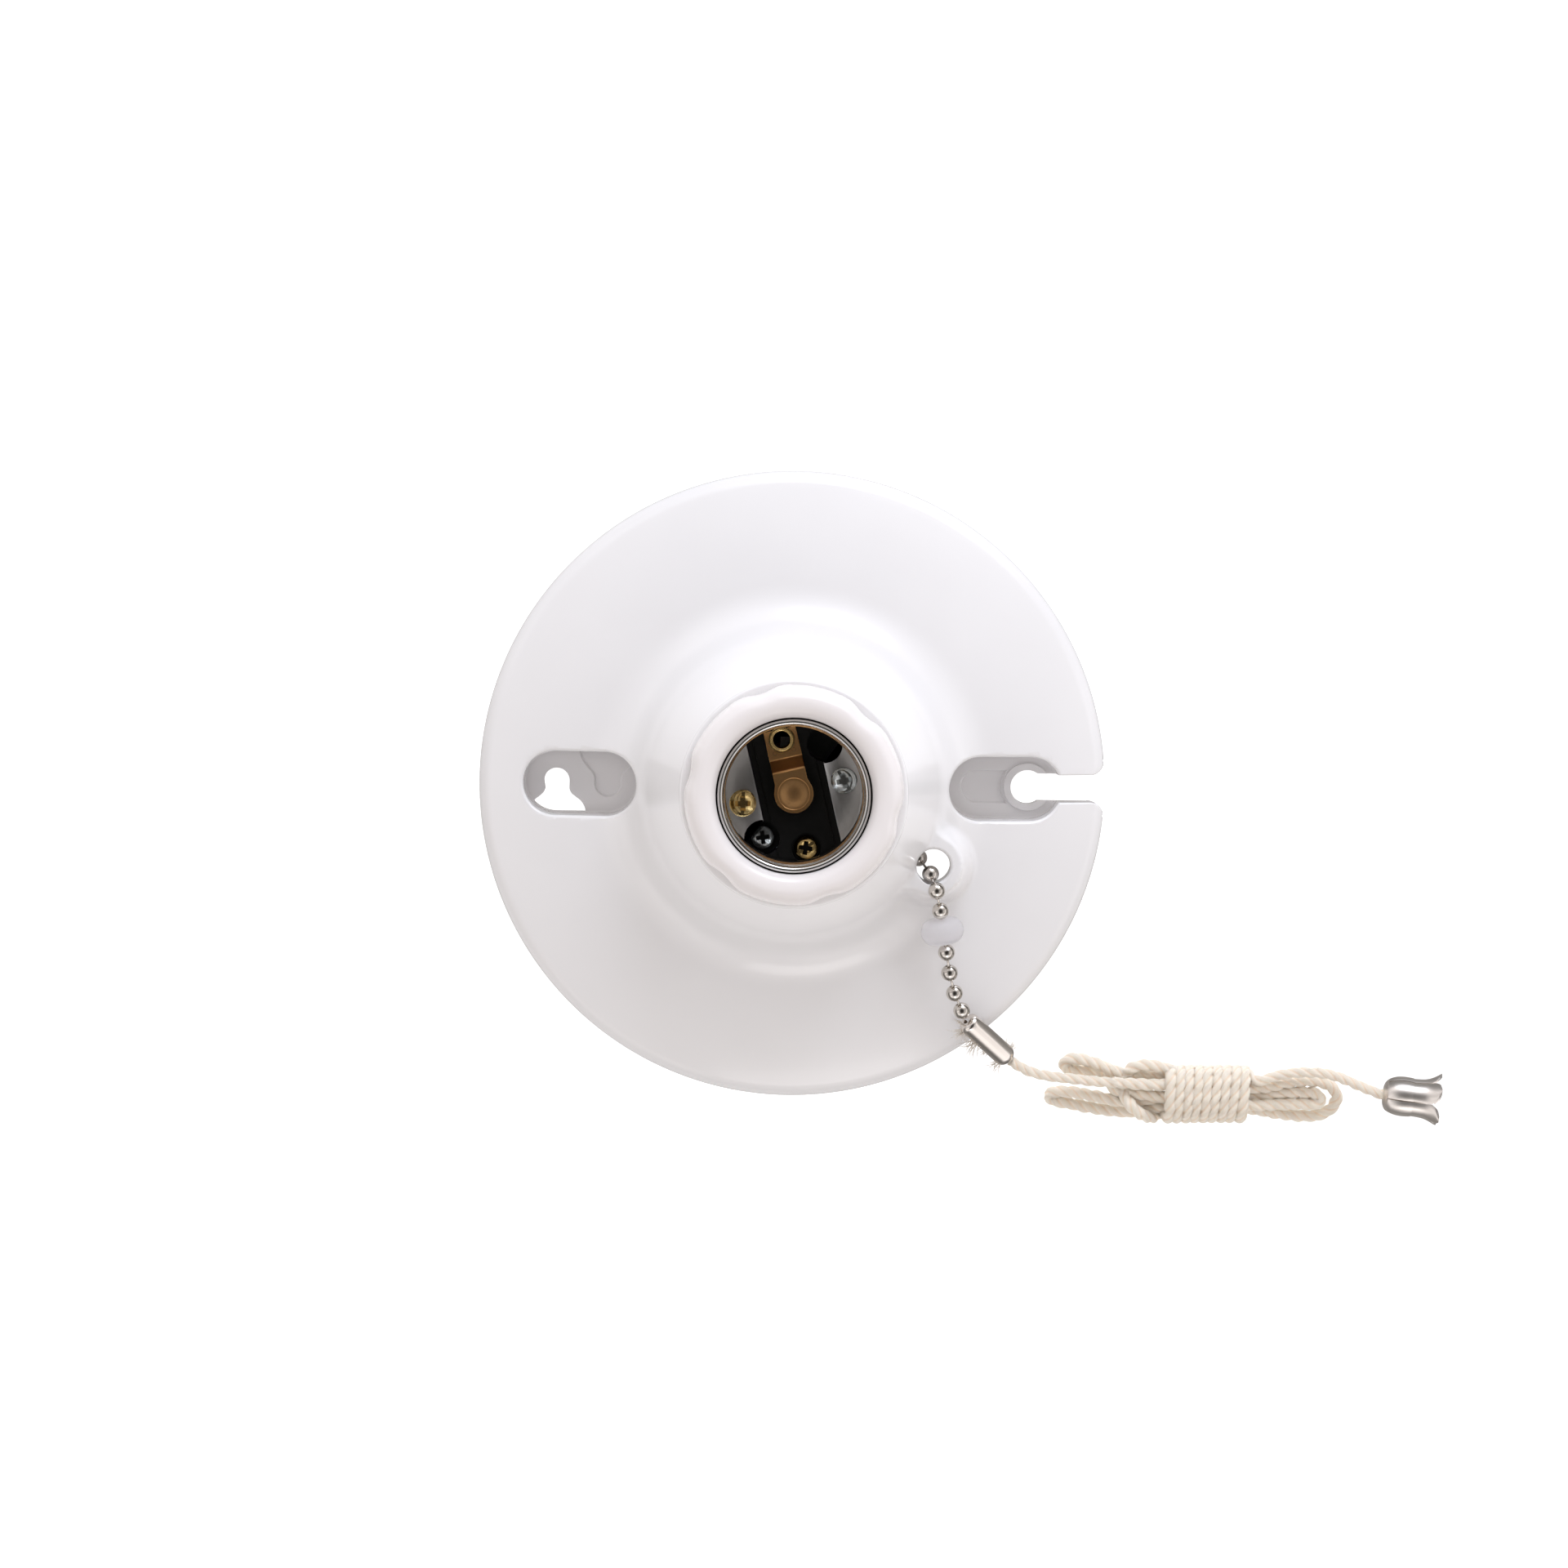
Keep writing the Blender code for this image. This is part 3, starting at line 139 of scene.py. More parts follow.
WRAP_TURNS, WRAP_FIRST_X, WRAP_LAST_X = 9, 70.9, 86.2
WRAP_CENTRE, WRAP_HALF_Y, WRAP_HALF_Z = (-57.2, 4.35), 4.35, 3.1

IVORY = (0.80, 0.785, 0.785)
WARM_WHITE = (0.80, 0.76, 0.75)


# --- Outlines ---

def arc(centre, radius, start, end, count):
    """Points on an arc, angles in degrees, both ends included."""
    steps = [math.radians(start + (end - start) * i / (count - 1)) for i in range(count)]
    return [(centre[0] + radius * math.cos(a), centre[1] + radius * math.sin(a)) for a in steps]


def bend(start, control, end, count):
    """Points on a quadratic curve after its start, up to and including its end."""
    points = []
    for i in range(1, count + 1):
        t = i / count
        a, b, c = (1 - t) ** 2, 2 * t * (1 - t), t * t
        points.append(tuple(a * p + b * q + c * r for p, q, r in zip(start, control, end)))
    return points


def circle(radius, at=(0.0, 0.0), count=64):
    return [(at[0] + x, at[1] + y) for x, y in arc((0.0, 0.0), radius, 0, 360, count + 1)[:-1]]


def obround(left, right, half):
    """Outline with straight sides along X and round ends."""
    return arc((right - half, 0.0), half, -90, 90, 24) + arc((left + half, 0.0), half, 90, 270, 24)


def box_outline(across, along, angle=0.0):
    """A rectangle from its two ranges, turned about the origin."""
    c, s = math.cos(angle), math.sin(angle)
    corners = [(across[0], along[0]), (across[1], along[0]), (across[1], along[1]), (across[0], along[1])]
    return [(x * c - y * s, x * s + y * c) for x, y in corners]


def socket_xy(n, m):
    """A place across (n) and along (m) the contact block's leaning axis, in X and Y."""
    c, s = math.cos(BAR_TILT), math.sin(BAR_TILT)
    return (n * c - m * s, n * s + m * c)


def grown(outline, offset):
    """An outline moved outwards by offset, point by point, along its own normals."""
    points = [Vector(p) for p in outline]
    moved = []
    for k, here in enumerate(points):
        before, after = points[k - 1], points[(k + 1) % len(points)]
        way = (here - before).normalized() + (after - here).normalized()
        way = way.normalized() if way.length > 1e-6 else (after - here).normalized()
        moved.append((here.x + way.y * offset, here.y - way.x * offset))
    return moved


# --- Meshes ---

def from_faces(name, points, faces):
    """A mesh from points in millimetres, with its faces turned outwards."""
    mesh = bpy.data.meshes.new(name)
    mesh.from_pydata([Vector(p) * MM for p in points], [], faces)
    data = bmesh.new()
    data.from_mesh(mesh)
    bmesh.ops.recalc_face_normals(data, faces=data.faces)
    data.to_mesh(mesh)
    data.free()
    made = bpy.data.objects.new(name, mesh)
    bpy.context.scene.collection.objects.link(made)
    return made


def ringed(name, rings, loop=False):
    """A mesh through rings of points. It is capped at both ends, or its last ring joins its first."""
    count = len(rings[0])
    points = [p for ring in rings for p in ring]
    faces = []
    for i in range(len(rings) - (0 if loop else 1)):
        j = (i + 1) % len(rings)
        for k in range(count):
            n = (k + 1) % count
            faces.append((i * count + k, i * count + n, j * count + n, j * count + k))
    if not loop:
        last = (len(rings) - 1) * count
        faces += [tuple(range(count))[::-1], tuple(last + k for k in range(count))]
    return from_faces(name, points, faces)


def turned(name, profile, segments=96, height=None, angles=None):
    """A (radius, z) outline turned about Z. height, if given, says each point's z from its x, y and own z."""
    angles = angles or [TURN * k / segments for k in range(segments)]
    count, points, rings = len(angles), [], []
    for radius, z in profile:
        if radius == 0:
            rings.append([len(points)] * count)
            points.append((0.0, 0.0, z))
            continue
        rings.append(list(range(len(points), len(points) + count)))
        for a in angles:
            x, y = radius * math.cos(a), radius * math.sin(a)
            points.append((x, y, height(x, y, z) if height else z))
    faces = []
    for here, there in zip(rings, rings[1:] + rings[:1]):
        for k in range(count):
            corners = [here[k], here[(k + 1) % count], there[(k + 1) % count], there[k]]
            corners = [c for i, c in enumerate(corners) if c not in corners[:i]]
            if len(corners) > 2:
                faces.append(corners)
    return from_faces(name, points, faces)


def prism(name, outline, foot, top, edge=0.0, foot_edge=0.0):
    """An outline raised from foot to top, with its upper and lower edges rounded."""
    steps, rings = 5, []
    for size, z, sign in ((foot_edge, foot, 1), (edge, top, -1)):
        curve = []
        for k in range(steps if size else 1):
            a = math.pi / 2 * k / (steps - 1)
            curve.append((-size * (1 - math.sin(a)), z + sign * size * (1 - math.cos(a))))
        rings += [[(x, y, height) for x, y in grown(outline, offset)] for offset, height in curve[::sign]]
    return ringed(name, rings)


def placed(made, at, direction):
    """Turns a piece built along +Z from the origin so that it starts at a point and runs in a direction."""
    turn = Vector(direction).to_track_quat("Z", "Y").to_matrix().to_4x4()
    made.data.transform(Matrix.Translation(Vector(at) * MM) @ turn)
    return made


def boolean(made, operation, *tools):
    """Cuts, joins or intersects a mesh with each tool in turn, and removes the tools."""
    for tool in tools:
        modifier = made.modifiers.new("boolean", "BOOLEAN")
        modifier.operation = operation
        modifier.solver = "MANIFOLD"
        modifier.object = tool
        bpy.context.view_layer.update()
        result = bpy.data.meshes.new_from_object(made.evaluated_get(bpy.context.evaluated_depsgraph_get()))
        made.modifiers.clear()
        made.data = result
        bpy.data.objects.remove(tool)
    return made


def joined(name, *pieces):
    """One object from several meshes that may touch or cross, without cutting them."""
    data = bmesh.new()
    for piece in pieces:
        data.from_mesh(piece.data)
    mesh = bpy.data.meshes.new(name)
    data.to_mesh(mesh)
    data.free()
    for piece in pieces:
        bpy.data.objects.remove(piece)
    made = bpy.data.objects.new(name, mesh)
    bpy.context.scene.collection.objects.link(made)
    return made


def dressed(made, look, body, slot, *nodes, sharp=35.0, weighted=False):
    """Gives a piece its material, shading and body, and hides the CAD nodes that it stands for. Its slot
    argument is not used.
    """
    made.data.materials.clear()
    made.data.materials.append(look)
    made.data.shade_smooth()
    made.data.set_sharp_from_angle(angle=math.radians(sharp))
    if weighted:
        made.modifiers.new("normals", "WEIGHTED_NORMAL").keep_sharp = True
    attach(made, body)
    if nodes:
        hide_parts(*nodes)
    return made


# --- Materials ---

def set_inputs(node, values):
    """Sets a node's inputs, given by name with underscores for spaces."""
    for key, value in values.items():
        node.inputs[key.replace("_", " ")].default_value = value
    return node


def add_node(made, kind, **values):
    """A new shader node of a material, or of the world."""
    return set_inputs(made.node_tree.nodes.new("ShaderNode" + kind), values)


def link(made, source, target):
    made.node_tree.links.new(source, target)


def shader(made):
    return made.node_tree.nodes["Principled BSDF"]


def surface(name, colour, roughness, metallic=0.0, **inputs):
    """A Principled material."""
    made = bpy.data.materials.new(name)
    made.use_nodes = True
    inputs.update(Base_Color=(*colour, 1.0), Roughness=roughness, Metallic=metallic)
    set_inputs(shader(made), inputs)
    return made


def grain(made, scale, detail, stretch=(1.0, 1.0, 1.0), source=None):
    """Noise over the piece, in metres, or over source. Gives its 0 to 1 output."""
    source = source or add_node(made, "TexCoord").outputs["Object"]
    mapping = add_node(made, "Mapping", Scale=stretch)
    field = add_node(made, "TexNoise", Scale=scale, Detail=detail)
    link(made, source, mapping.inputs["Vector"])
    link(made, mapping.outputs["Vector"], field.inputs["Vector"])
    return field.outputs["Fac"]


def ramp(made, source, low, high, to_low=0.0, to_high=1.0):
    """Maps source from low..high to to_low..to_high, held at both ends."""
    node = add_node(made, "MapRange", From_Min=low, From_Max=high, To_Min=to_low, To_Max=to_high)
    link(made, source, node.inputs["Value"])
    return node.outputs["Result"]


def product(made, first, second):
    """Two outputs, multiplied."""
    node = add_node(made, "Math")
    node.operation = "MULTIPLY"
    link(made, first, node.inputs[0])
    link(made, second, node.inputs[1])
    return node.outputs[0]


def tint(made, source, first, second):
    """Base colour from the first, a colour or an output, to the second, a colour, by source."""
    mix = add_node(made, "Mix")
    mix.data_type = "RGBA"
    if isinstance(first, tuple):
        mix.inputs["A"].default_value = (*first, 1.0)
    else:
        link(made, first, mix.inputs["A"])
    mix.inputs["B"].default_value = (*second, 1.0)
    link(made, source, mix.inputs["Factor"])
    link(made, mix.outputs["Result"], shader(made).inputs["Base Color"])


def vary_roughness(made, source, roughness, low, high):
    """Roughness between two multiples of its own value, by source."""
    varied = ramp(made, source, 0.3, 0.7, roughness * low, roughness * high)
    link(made, varied, shader(made).inputs["Roughness"])


def relief(made, source, depth, strength=1.0):
    """Bump of a depth in millimetres from a 0 to 1 source, added to any that the material has."""
    node = add_node(made, "Bump", Distance=depth * MM, Strength=strength)
    normal = shader(made).inputs["Normal"]
    if normal.links:
        link(made, normal.links[0].from_socket, node.inputs["Normal"])
    link(made, source, node.inputs["Height"])
    link(made, node.outputs["Normal"], normal)
    return made


def moulding(name, colour, other, roughness, **inputs):
    """Moulded plastic: a faint cloudiness in its colour and gloss, and the slight waviness of its skin."""
    made = surface(name, colour, roughness, **inputs)
    tint(made, ramp(made, grain(made, 45.0, 2.0), 0.35, 0.65), colour, other)
    vary_roughness(made, grain(made, 400.0, 6.0), roughness, 0.95, 1.08)
    return relief(made, grain(made, 160.0, 1.0), 0.004)


def plated(name, colour, other, roughness, scratch=(1.0, 1.0, 1.0), depth=0.004):
    """Metal clouded between two colours. Where depth isn't 0, fine scratches vary its gloss and relief."""
    made = surface(name, colour, roughness, 1.0)
    tint(made, ramp(made, grain(made, 150.0, 1.0), 0.35, 0.7), colour, other)
    if not depth:
        return made
    lines = grain(made, 1500.0, 2.0, scratch)
    vary_roughness(made, lines, roughness, 0.96, 1.06)
    return relief(made, lines, depth)


def painted_bend_shade(made):
    """Paints shade on the strip's bronze: a dark band on the slope between its two flats, standing in for the
    dark reflection that the slope shows.
    """
    parts = add_node(made, "SeparateXYZ")
    link(made, add_node(made, "TexCoord").outputs["Object"], parts.inputs["Vector"])
    low, high = (STRIP_BASE_Z + STRIP_THICK) * MM, (STRIP_END_Z + STRIP_THICK) * MM
    rise = ramp(made, parts.outputs["Z"], low + 0.03 * MM, low + 0.12 * MM)
    fall = ramp(made, parts.outputs["Z"], high - 0.2 * MM, high - 0.03 * MM, 1.0, 0.0)
    plain = shader(made).inputs["Base Color"].links[0].from_socket
    # The dark colour mixed in here is painted shade on the bend, not a tint of the metal.
    tint(made, product(made, rise, fall), plain, (0.12, 0.05, 0.015))


def cotton():
    """Twisted cotton: soft yarn lines laid across each strand, painted shade that darkens the grooves between
    them, and a fuzzy sheen.
    """
    made = surface("cotton", (0.90, 0.82, 0.70), 0.95, Sheen_Weight=0.3, Sheen_Roughness=0.6,
                   Subsurface_Weight=0.15, Subsurface_Radius=(0.9, 0.7, 0.5), Subsurface_Scale=0.001)
    laid, groove = add_node(made, "Attribute"), add_node(made, "Attribute")
    laid.attribute_name, groove.attribute_name = "laid", "groove"
    yarn = grain(made, 1.0, 5.0, (0.55, 4.6, 1.0), source=laid.outputs["Vector"])
    fibres = ramp(made, yarn, 0.3, 0.7)
    # The groove attribute drives painted shade: the colour turns darker and browner in the grooves between
    # the strands.
    shade = product(made, ramp(made, groove.outputs["Fac"], 0.0, 0.5, 0.4, 1.0),
                    ramp(made, fibres, 0.0, 1.0, 0.66, 1.0))
    tint(made, shade, (0.87, 0.61, 0.37), (0.99, 0.925, 0.815))
    return relief(relief(made, fibres, 0.09, 0.8), grain(made, 5000.0, 3.0), 0.03, 0.6)


# --- The base ---

def housing_outline():
    """The base's outer half section, from the rim's foot up to the neck's top."""
    outline = [(DISC_R - 0.15, 0.0), (DISC_R, 0.15), (DISC_R, 2.4)]
    outline += arc((DISC_R - RIM_ROUND, RIM_FLAT), RIM_ROUND, 0, 70, 16)
    dome = bend(outline[-1], (45.0, 12.0), (DOME_FOOT_R, DOME_TOP_Z), 60)
    outline += [point for point in dome if point[0] > FILLET_FOOT_R]
    neck = bend((NECK_FOOT_R, NECK_FOOT_Z), (24.4, 28.4), (NECK_TOP_R, NECK_TOP_Z - 0.5), 48)
    neck = [point for point in neck if point[1] > FILLET_TOP_Z]
    corner_z, slope, edge = 14.5, 0.37, 0.5
    corner_r = NECK_FOOT_R + slope * (NECK_FOOT_Z - corner_z)
    outline += bend(outline[-1], (corner_r, corner_z), neck[0], 30) + neck[1:]
    return outline + arc((NECK_TOP_R - edge, NECK_TOP_Z - edge), edge, 15, 90, 5)


def boss_plan(grow=0.0):
    """The outlet boss in plan: a round nose whose sides sweep out into the neck."""
    nose = arc((0.0, 0.0), BOSS_R + grow, -90, 90, 41)
    side = arc((-0.5, BOSS_R + BOSS_BLEND_R), BOSS_BLEND_R - grow, -92, -158, 16)
    local = nose + side + [(-14.0, side[-1][1]), (-14.0, -side[-1][1])] + [(a, -b) for a, b in reversed(side)]
    c, s = math.cos(BOSS_ANGLE), math.sin(BOSS_ANGLE)
    return [((BOSS_DISTANCE + a) * c - b * s, (BOSS_DISTANCE + a) * s + b * c) for a, b in local]


BOSS_EDGES = np.array(boss_plan())
OUTLINE = np.array(housing_outline())


def boss_distance(x, y):
    """How far a point is outside the boss's plan outline, negative inside."""
    a, b = BOSS_EDGES, np.roll(BOSS_EDGES, -1, axis=0)
    edge, to = b - a, np.array((x, y)) - a
    along = np.clip((to * edge).sum(axis=1) / (edge ** 2).sum(axis=1), 0.0, 1.0)
    nearest = np.hypot(*(to - edge * along[:, None]).T).min()
    crosses = (a[:, 1] > y) != (b[:, 1] > y)
    rise = np.where(crosses, b[:, 1] - a[:, 1], 1.0)
    inside = np.count_nonzero(crosses & (x < a[:, 0] + (y - a[:, 1]) * edge[:, 0] / rise)) % 2
    return -nearest if inside else nearest


def with_boss(x, y, z):
    """The outer surface's height at a point, blended smoothly with z, its height without the boss."""
    if math.hypot(x - BOSS_CENTRE[0], y - BOSS_CENTRE[1]) > BOSS_FAR:
        return z
    off = (BOSS_REACH_IN + boss_distance(x, y)) / (BOSS_REACH_IN + BOSS_REACH_OUT)
    step = (1.0 - min(1.0, max(0.0, off)) ** 1.8) ** 3
    above = BOSS_TOP_Z - z
    return z + step * 0.5 * (above + math.sqrt(above ** 2 + BOSS_SOFT ** 2))


def surface_height(x, y):
    r = math.hypot(x, y)
    return with_boss(x, y, float(np.interp(r, OUTLINE[::-1, 0], OUTLINE[::-1, 1])))


def flared(name, outline, floor, edge, floor_edge=0.0):
    """A cutter that rounds its edge with the base's outer surface, and the corner round its floor."""
    steps, rings = 6, []
    for k in range(steps if floor_edge else 1):
        a = math.pi / 2 * k / (steps - 1)
        rings.append([(x, y, floor + floor_edge * (1 - math.cos(a)))
                      for x, y in grown(outline, -floor_edge * (1 - math.sin(a)))])
    for k in range(steps):
        offset = edge * (1 - math.cos(math.pi / 2 * k / (steps - 1)))
        drop = edge - math.sqrt(max(0.0, edge ** 2 - (edge - offset) ** 2))
        rings.append([(x, y, max(surface_height(x, y) - drop, floor + floor_edge + 0.05 * (k + 1)) + 0.01 * k)
                      for x, y in grown(outline, offset)])
    rings.append([(x, y, 60.0) for x, y, _ in rings[-1]])
    return ringed(name, rings)


def sunken(name, outline):
    """A cutter for a shallow panel in a pocket's floor, with sloping sides."""
    levels = ((0.0, POCKET_FLOOR_Z - KNOCKOUT_DEPTH), (0.3, POCKET_FLOOR_Z), (0.3, 20.0))
    return ringed(name, [[(x, y, z) for x, y in grown(outline, grow)] for grow, z in levels])


def slot_plan():
    """The channel from the open screw hole out through the rim, with rounded corners."""
    corner = arc((DISC_R - SLOT_CORNER_R - 0.2, SLOT_HALF + SLOT_CORNER_R), SLOT_CORNER_R, -90, 0, 12)
    upper = [(SCREW_X, SLOT_HALF), (SCREW_X + 5, SLOT_HALF)] + corner + [(DISC_R + 4, corner[-1][1])]
    return [(x, -y) for x, y in upper] + upper[::-1]


def pocket_outline(side, grow=0.0):
    reach = POCKET_LENGTH / 2 + grow
    return obround(side * POCKET_X - reach, side * POCKET_X + reach, POCKET_HALF + grow)


def hollow_back():
    """What is taken out of the base from behind, round the walls that stay."""
    outline = [(DISC_R - WALL, -1.0), (DISC_R - WALL, RIM_FLAT - 0.6)]
    outline += bend(outline[-1], (DISC_R - WALL - 0.4, 6.4), (52.0, 6.6), 6)
    outline += bend(outline[-1], (43.0, 10.0), (31.0, 11.3), 8)
    outline += bend(outline[-1], (27.2, 12.2), (25.6, 16.6), 6)
    outline += [(BARREL_R - 0.5, 28.6)]
    hollow = turned("hollow", [(0.0, -1.0)] + outline + [(0.0, 28.6)], 120)
    walls = box_outline((SCREW_X, 60.0), (-SLOT_HALF - 2.2, SLOT_HALF + 2.2))
    kept = ((circle(BARREL_R, count=96), BARREL_FOOT_Z), (boss_plan(), BOSS_FOOT_Z),
            (pocket_outline(-1, POCKET_WALL), POCKET_BACK_Z), (pocket_outline(1, POCKET_WALL), POCKET_BACK_Z),
            (walls, POCKET_BACK_Z))
    return boolean(hollow, "DIFFERENCE", *[prism("kept", outline, foot, 40.0) for outline, foot in kept])


def run_point(distance):
    """A point on the chain's straight run, measured back from the first outlet bead."""
    return Vector(OUTLET_BEADS[0]) - distance * Vector((math.cos(RUN_ANGLE), math.sin(RUN_ANGLE), 0.0))


def chain_way(name, start, end, radius):
    """The space that a bead sweeps between two points, with room round it."""
    start, end = Vector(start), Vector(end)
    length = (end - start).length
    profile = [(0.0, -radius)] + arc((0.0, 0.0), radius, -80, 0, 8) + arc((0.0, length), radius, 0, 80, 8)
    return placed(turned(name, profile + [(0.0, length + radius)], 40), start, end - start)


def make_housing(look):
    angles = sorted({round(TURN * k / 240, 6) for k in range(240)}
                    | {round(BOSS_ANGLE % TURN + math.radians(0.5 * k), 6) for k in range(-56, 57)})
    outline = housing_outline()
    base = turned("base_moulding", [(0.0, 0.0)] + outline + [(0.0, NECK_TOP_Z)], height=with_boss_outside,
                  angles=angles)
    base = boolean(base, "DIFFERENCE", hollow_back(),
                   prism("bore", circle(BARREL_BORE_R, count=120), LEDGE_Z, 50.0),
                   prism("ledge_bore", circle(LEDGE_BORE_R, count=96), -2.0, LEDGE_Z + 1),
                   flared("left_pocket", pocket_outline(-1), POCKET_FLOOR_Z, 0.7, 0.5),
                   flared("right_pocket", pocket_outline(1), POCKET_FLOOR_Z, 0.7, 0.5))
    base = boolean(base, "UNION", prism("ring", circle(SLOT_RING_R, (SCREW_X, 0.0), 48), POCKET_FLOOR_Z - 1,
                                        POCKET_FLOOR_Z + SLOT_RING_H, 0.25))
    inside = pocket_outline(-1, -0.25)
    side = [(p.x, p.y) for p in smooth_route([(*p, 0.0) for p in KEYHOLE_SIDE], 0.3)]
    entry = [(-SCREW_X - 0.92 * x, y) for x, y in side] + [(-SCREW_X + x, y) for x, y in reversed(side)]
    entry = prism("entry", entry + arc((-SCREW_X, 0.0), KEYHOLE_R, 0, 180, 40), -2.0, 20.0)
    entry = boolean(entry, "INTERSECT", prism("well", inside, -3.0, 25.0))
    side = [(p.x, p.y) for p in smooth_route([(*p, 0.0) for p in FUNNEL_SIDE], 0.3)]
    funnel = [(x, y) for x, y in side] + [(-x, y) for x, y in reversed(side)]
    funnel += arc((0.0, 0.0), FUNNEL_SIDE[0][0], 180, 360, 40)[1:-1]
    flare = sunken("funnel", [(FUNNEL_AT[0] + x, FUNNEL_AT[1] + y) for x, y in funnel])
    flare = boolean(flare, "INTERSECT", prism("well", inside, -3.0, 25.0))
    panel = sunken("panel", obround(KNOCKOUT_X - 3.2, SCREW_X, 2.85))
    step = [[(SCREW_X + x, y, z) for x, y in circle(SLOT_RING_R + grow)]
            for grow, z in ((1.0, 2.0), (0.3, POCKET_FLOOR_Z + 0.2), (0.3, 25.0))]
    panel = boolean(panel, "DIFFERENCE", ringed("step", step))
    base = boolean(base, "DIFFERENCE", entry, flare, panel,
                   prism("screw_hole", circle(SLOT_HOLE_R, (SCREW_X, 0.0)), -2.0, 20.0),
                   flared("slot", slot_plan(), -2.0, 0.35),
                   chain_way("channel", run_point(7 * BEAD_PITCH), OUTLET_BEADS[0], CHANNEL_R),
                   chain_way("rise", run_point(BEAD_PITCH), OUTLET_BEADS[1], CHANNEL_R + 0.3),
                   ringed("outlet_relief", [[(x, y, z) for x, y in circle(r, BOSS_CENTRE, 72)]
                                            for r, z in ((BOSS_HOLE_R + 0.7, 4.0), (BOSS_HOLE_R, 19.5))]),
                   flared("outlet", circle(BOSS_HOLE_R, BOSS_CENTRE, 72), 4.0, 0.7))
    return dressed(base, look, "base", "white_plastic", "housing", sharp=38.0, weighted=True)


def with_boss_outside(x, y, z):
    """with_boss for the base's outer skin alone: its foot keeps its height."""
    return with_boss(x, y, z) if z > SKIN_LOWEST_Z else z


def make_collar(look):
    """The ring round the lamp shell: a rounded lip over a wall with six soft scallops."""
    profile = [(COLLAR_R - 0.4, COLLAR_FOOT_Z), (COLLAR_R - 0.1, COLLAR_FOOT_Z + 0.1),
               (COLLAR_R, COLLAR_FOOT_Z + 0.4), (COLLAR_R, 40.6)]
    profile += bend((COLLAR_R, 41.0), (COLLAR_R, COLLAR_TOP_Z), (COLLAR_CROWN_R, COLLAR_TOP_Z), 22)
    profile += bend(profile[-1], (COLLAR_LIP_R, COLLAR_TOP_Z), (COLLAR_LIP_R, 44.4), 18)
    inside = [(COLLAR_LIP_R, 43.7), (COLLAR_LIP_R + 0.2, 43.4), (COLLAR_BORE_R, 42.8),
              (COLLAR_BORE_R, BLOCK_TOP_Z + 0.3), (COLLAR_SKIRT_R, BLOCK_TOP_Z + 0.3),
              (COLLAR_SKIRT_R, COLLAR_FOOT_Z)]
    segments, reach, pitch = 288, COLLAR_R - NOTCH_DEPTH + NOTCH_R, TURN / NOTCH_COUNT
    rings = []
    for index, (radius, z) in enumerate(profile + inside):
        ring = []
        for k in range(segments):
            a, r = TURN * k / segments, radius
            if index < len(profile) and radius > COLLAR_LIP_R:
                off = (a - NOTCH_FIRST + pitch / 2) % pitch - pitch / 2
                hit = NOTCH_R ** 2 - (reach * math.sin(off)) ** 2
                bite = COLLAR_R - reach * math.cos(off) + math.sqrt(hit) if hit > 0 else -1.0
                bite = 0.5 * (bite + math.sqrt(bite ** 2 + NOTCH_SOFT ** 2))
                r -= bite * ((radius - COLLAR_LIP_R) / (COLLAR_R - COLLAR_LIP_R)) ** 1.6
            ring.append((r * math.cos(a), r * math.sin(a), z))
        rings.append(ring)
    return dressed(ringed("collar_moulding", rings, loop=True), look, "base", "warm_plastic", "socket_collar")


# --- The socket's inside ---

def shell_radius(angle, z):
    """The shell's inner radius: a helical thread that fades out towards both ends."""
    fade = min(1.0, max(0.0, (z - SHELL_FOOT_Z - 0.8) / 1.4), max(0.0, (SHELL_TOP_Z - 1.4 - z) / 1.2))
    return THREAD_MID_R + THREAD_HALF_DEPTH * fade * math.cos(TURN * z / THREAD_PITCH - angle)


def flange_outline():
    """Half of the shell's flange, as (across, along): a segment of a disc with a bite round a notch hole."""
    reach, hole = THREAD_MID_R + 0.1, math.hypot(*NOTCH_HOLE_AT)
    toward = math.degrees(math.atan2(NOTCH_HOLE_AT[1], NOTCH_HOLE_AT[0]))
    cosine = (reach ** 2 + hole ** 2 - NOTCH_HOLE_R ** 2) / (2 * reach * hole)
    first = -math.degrees(math.acos(BAR_HALF / reach))
    rim = arc((0.0, 0.0), reach, first, toward - math.degrees(math.acos(cosine)), 60)
    leave = math.degrees(math.atan2(rim[-1][1] - NOTCH_HOLE_AT[1], rim[-1][0] - NOTCH_HOLE_AT[0]))
    arrive = -90.0 - math.degrees(math.asin((NOTCH_HOLE_AT[0] - BAR_HALF) / NOTCH_HOLE_R))
    return rim + arc(NOTCH_HOLE_AT, NOTCH_HOLE_R, leave, arrive, 36)[1:]


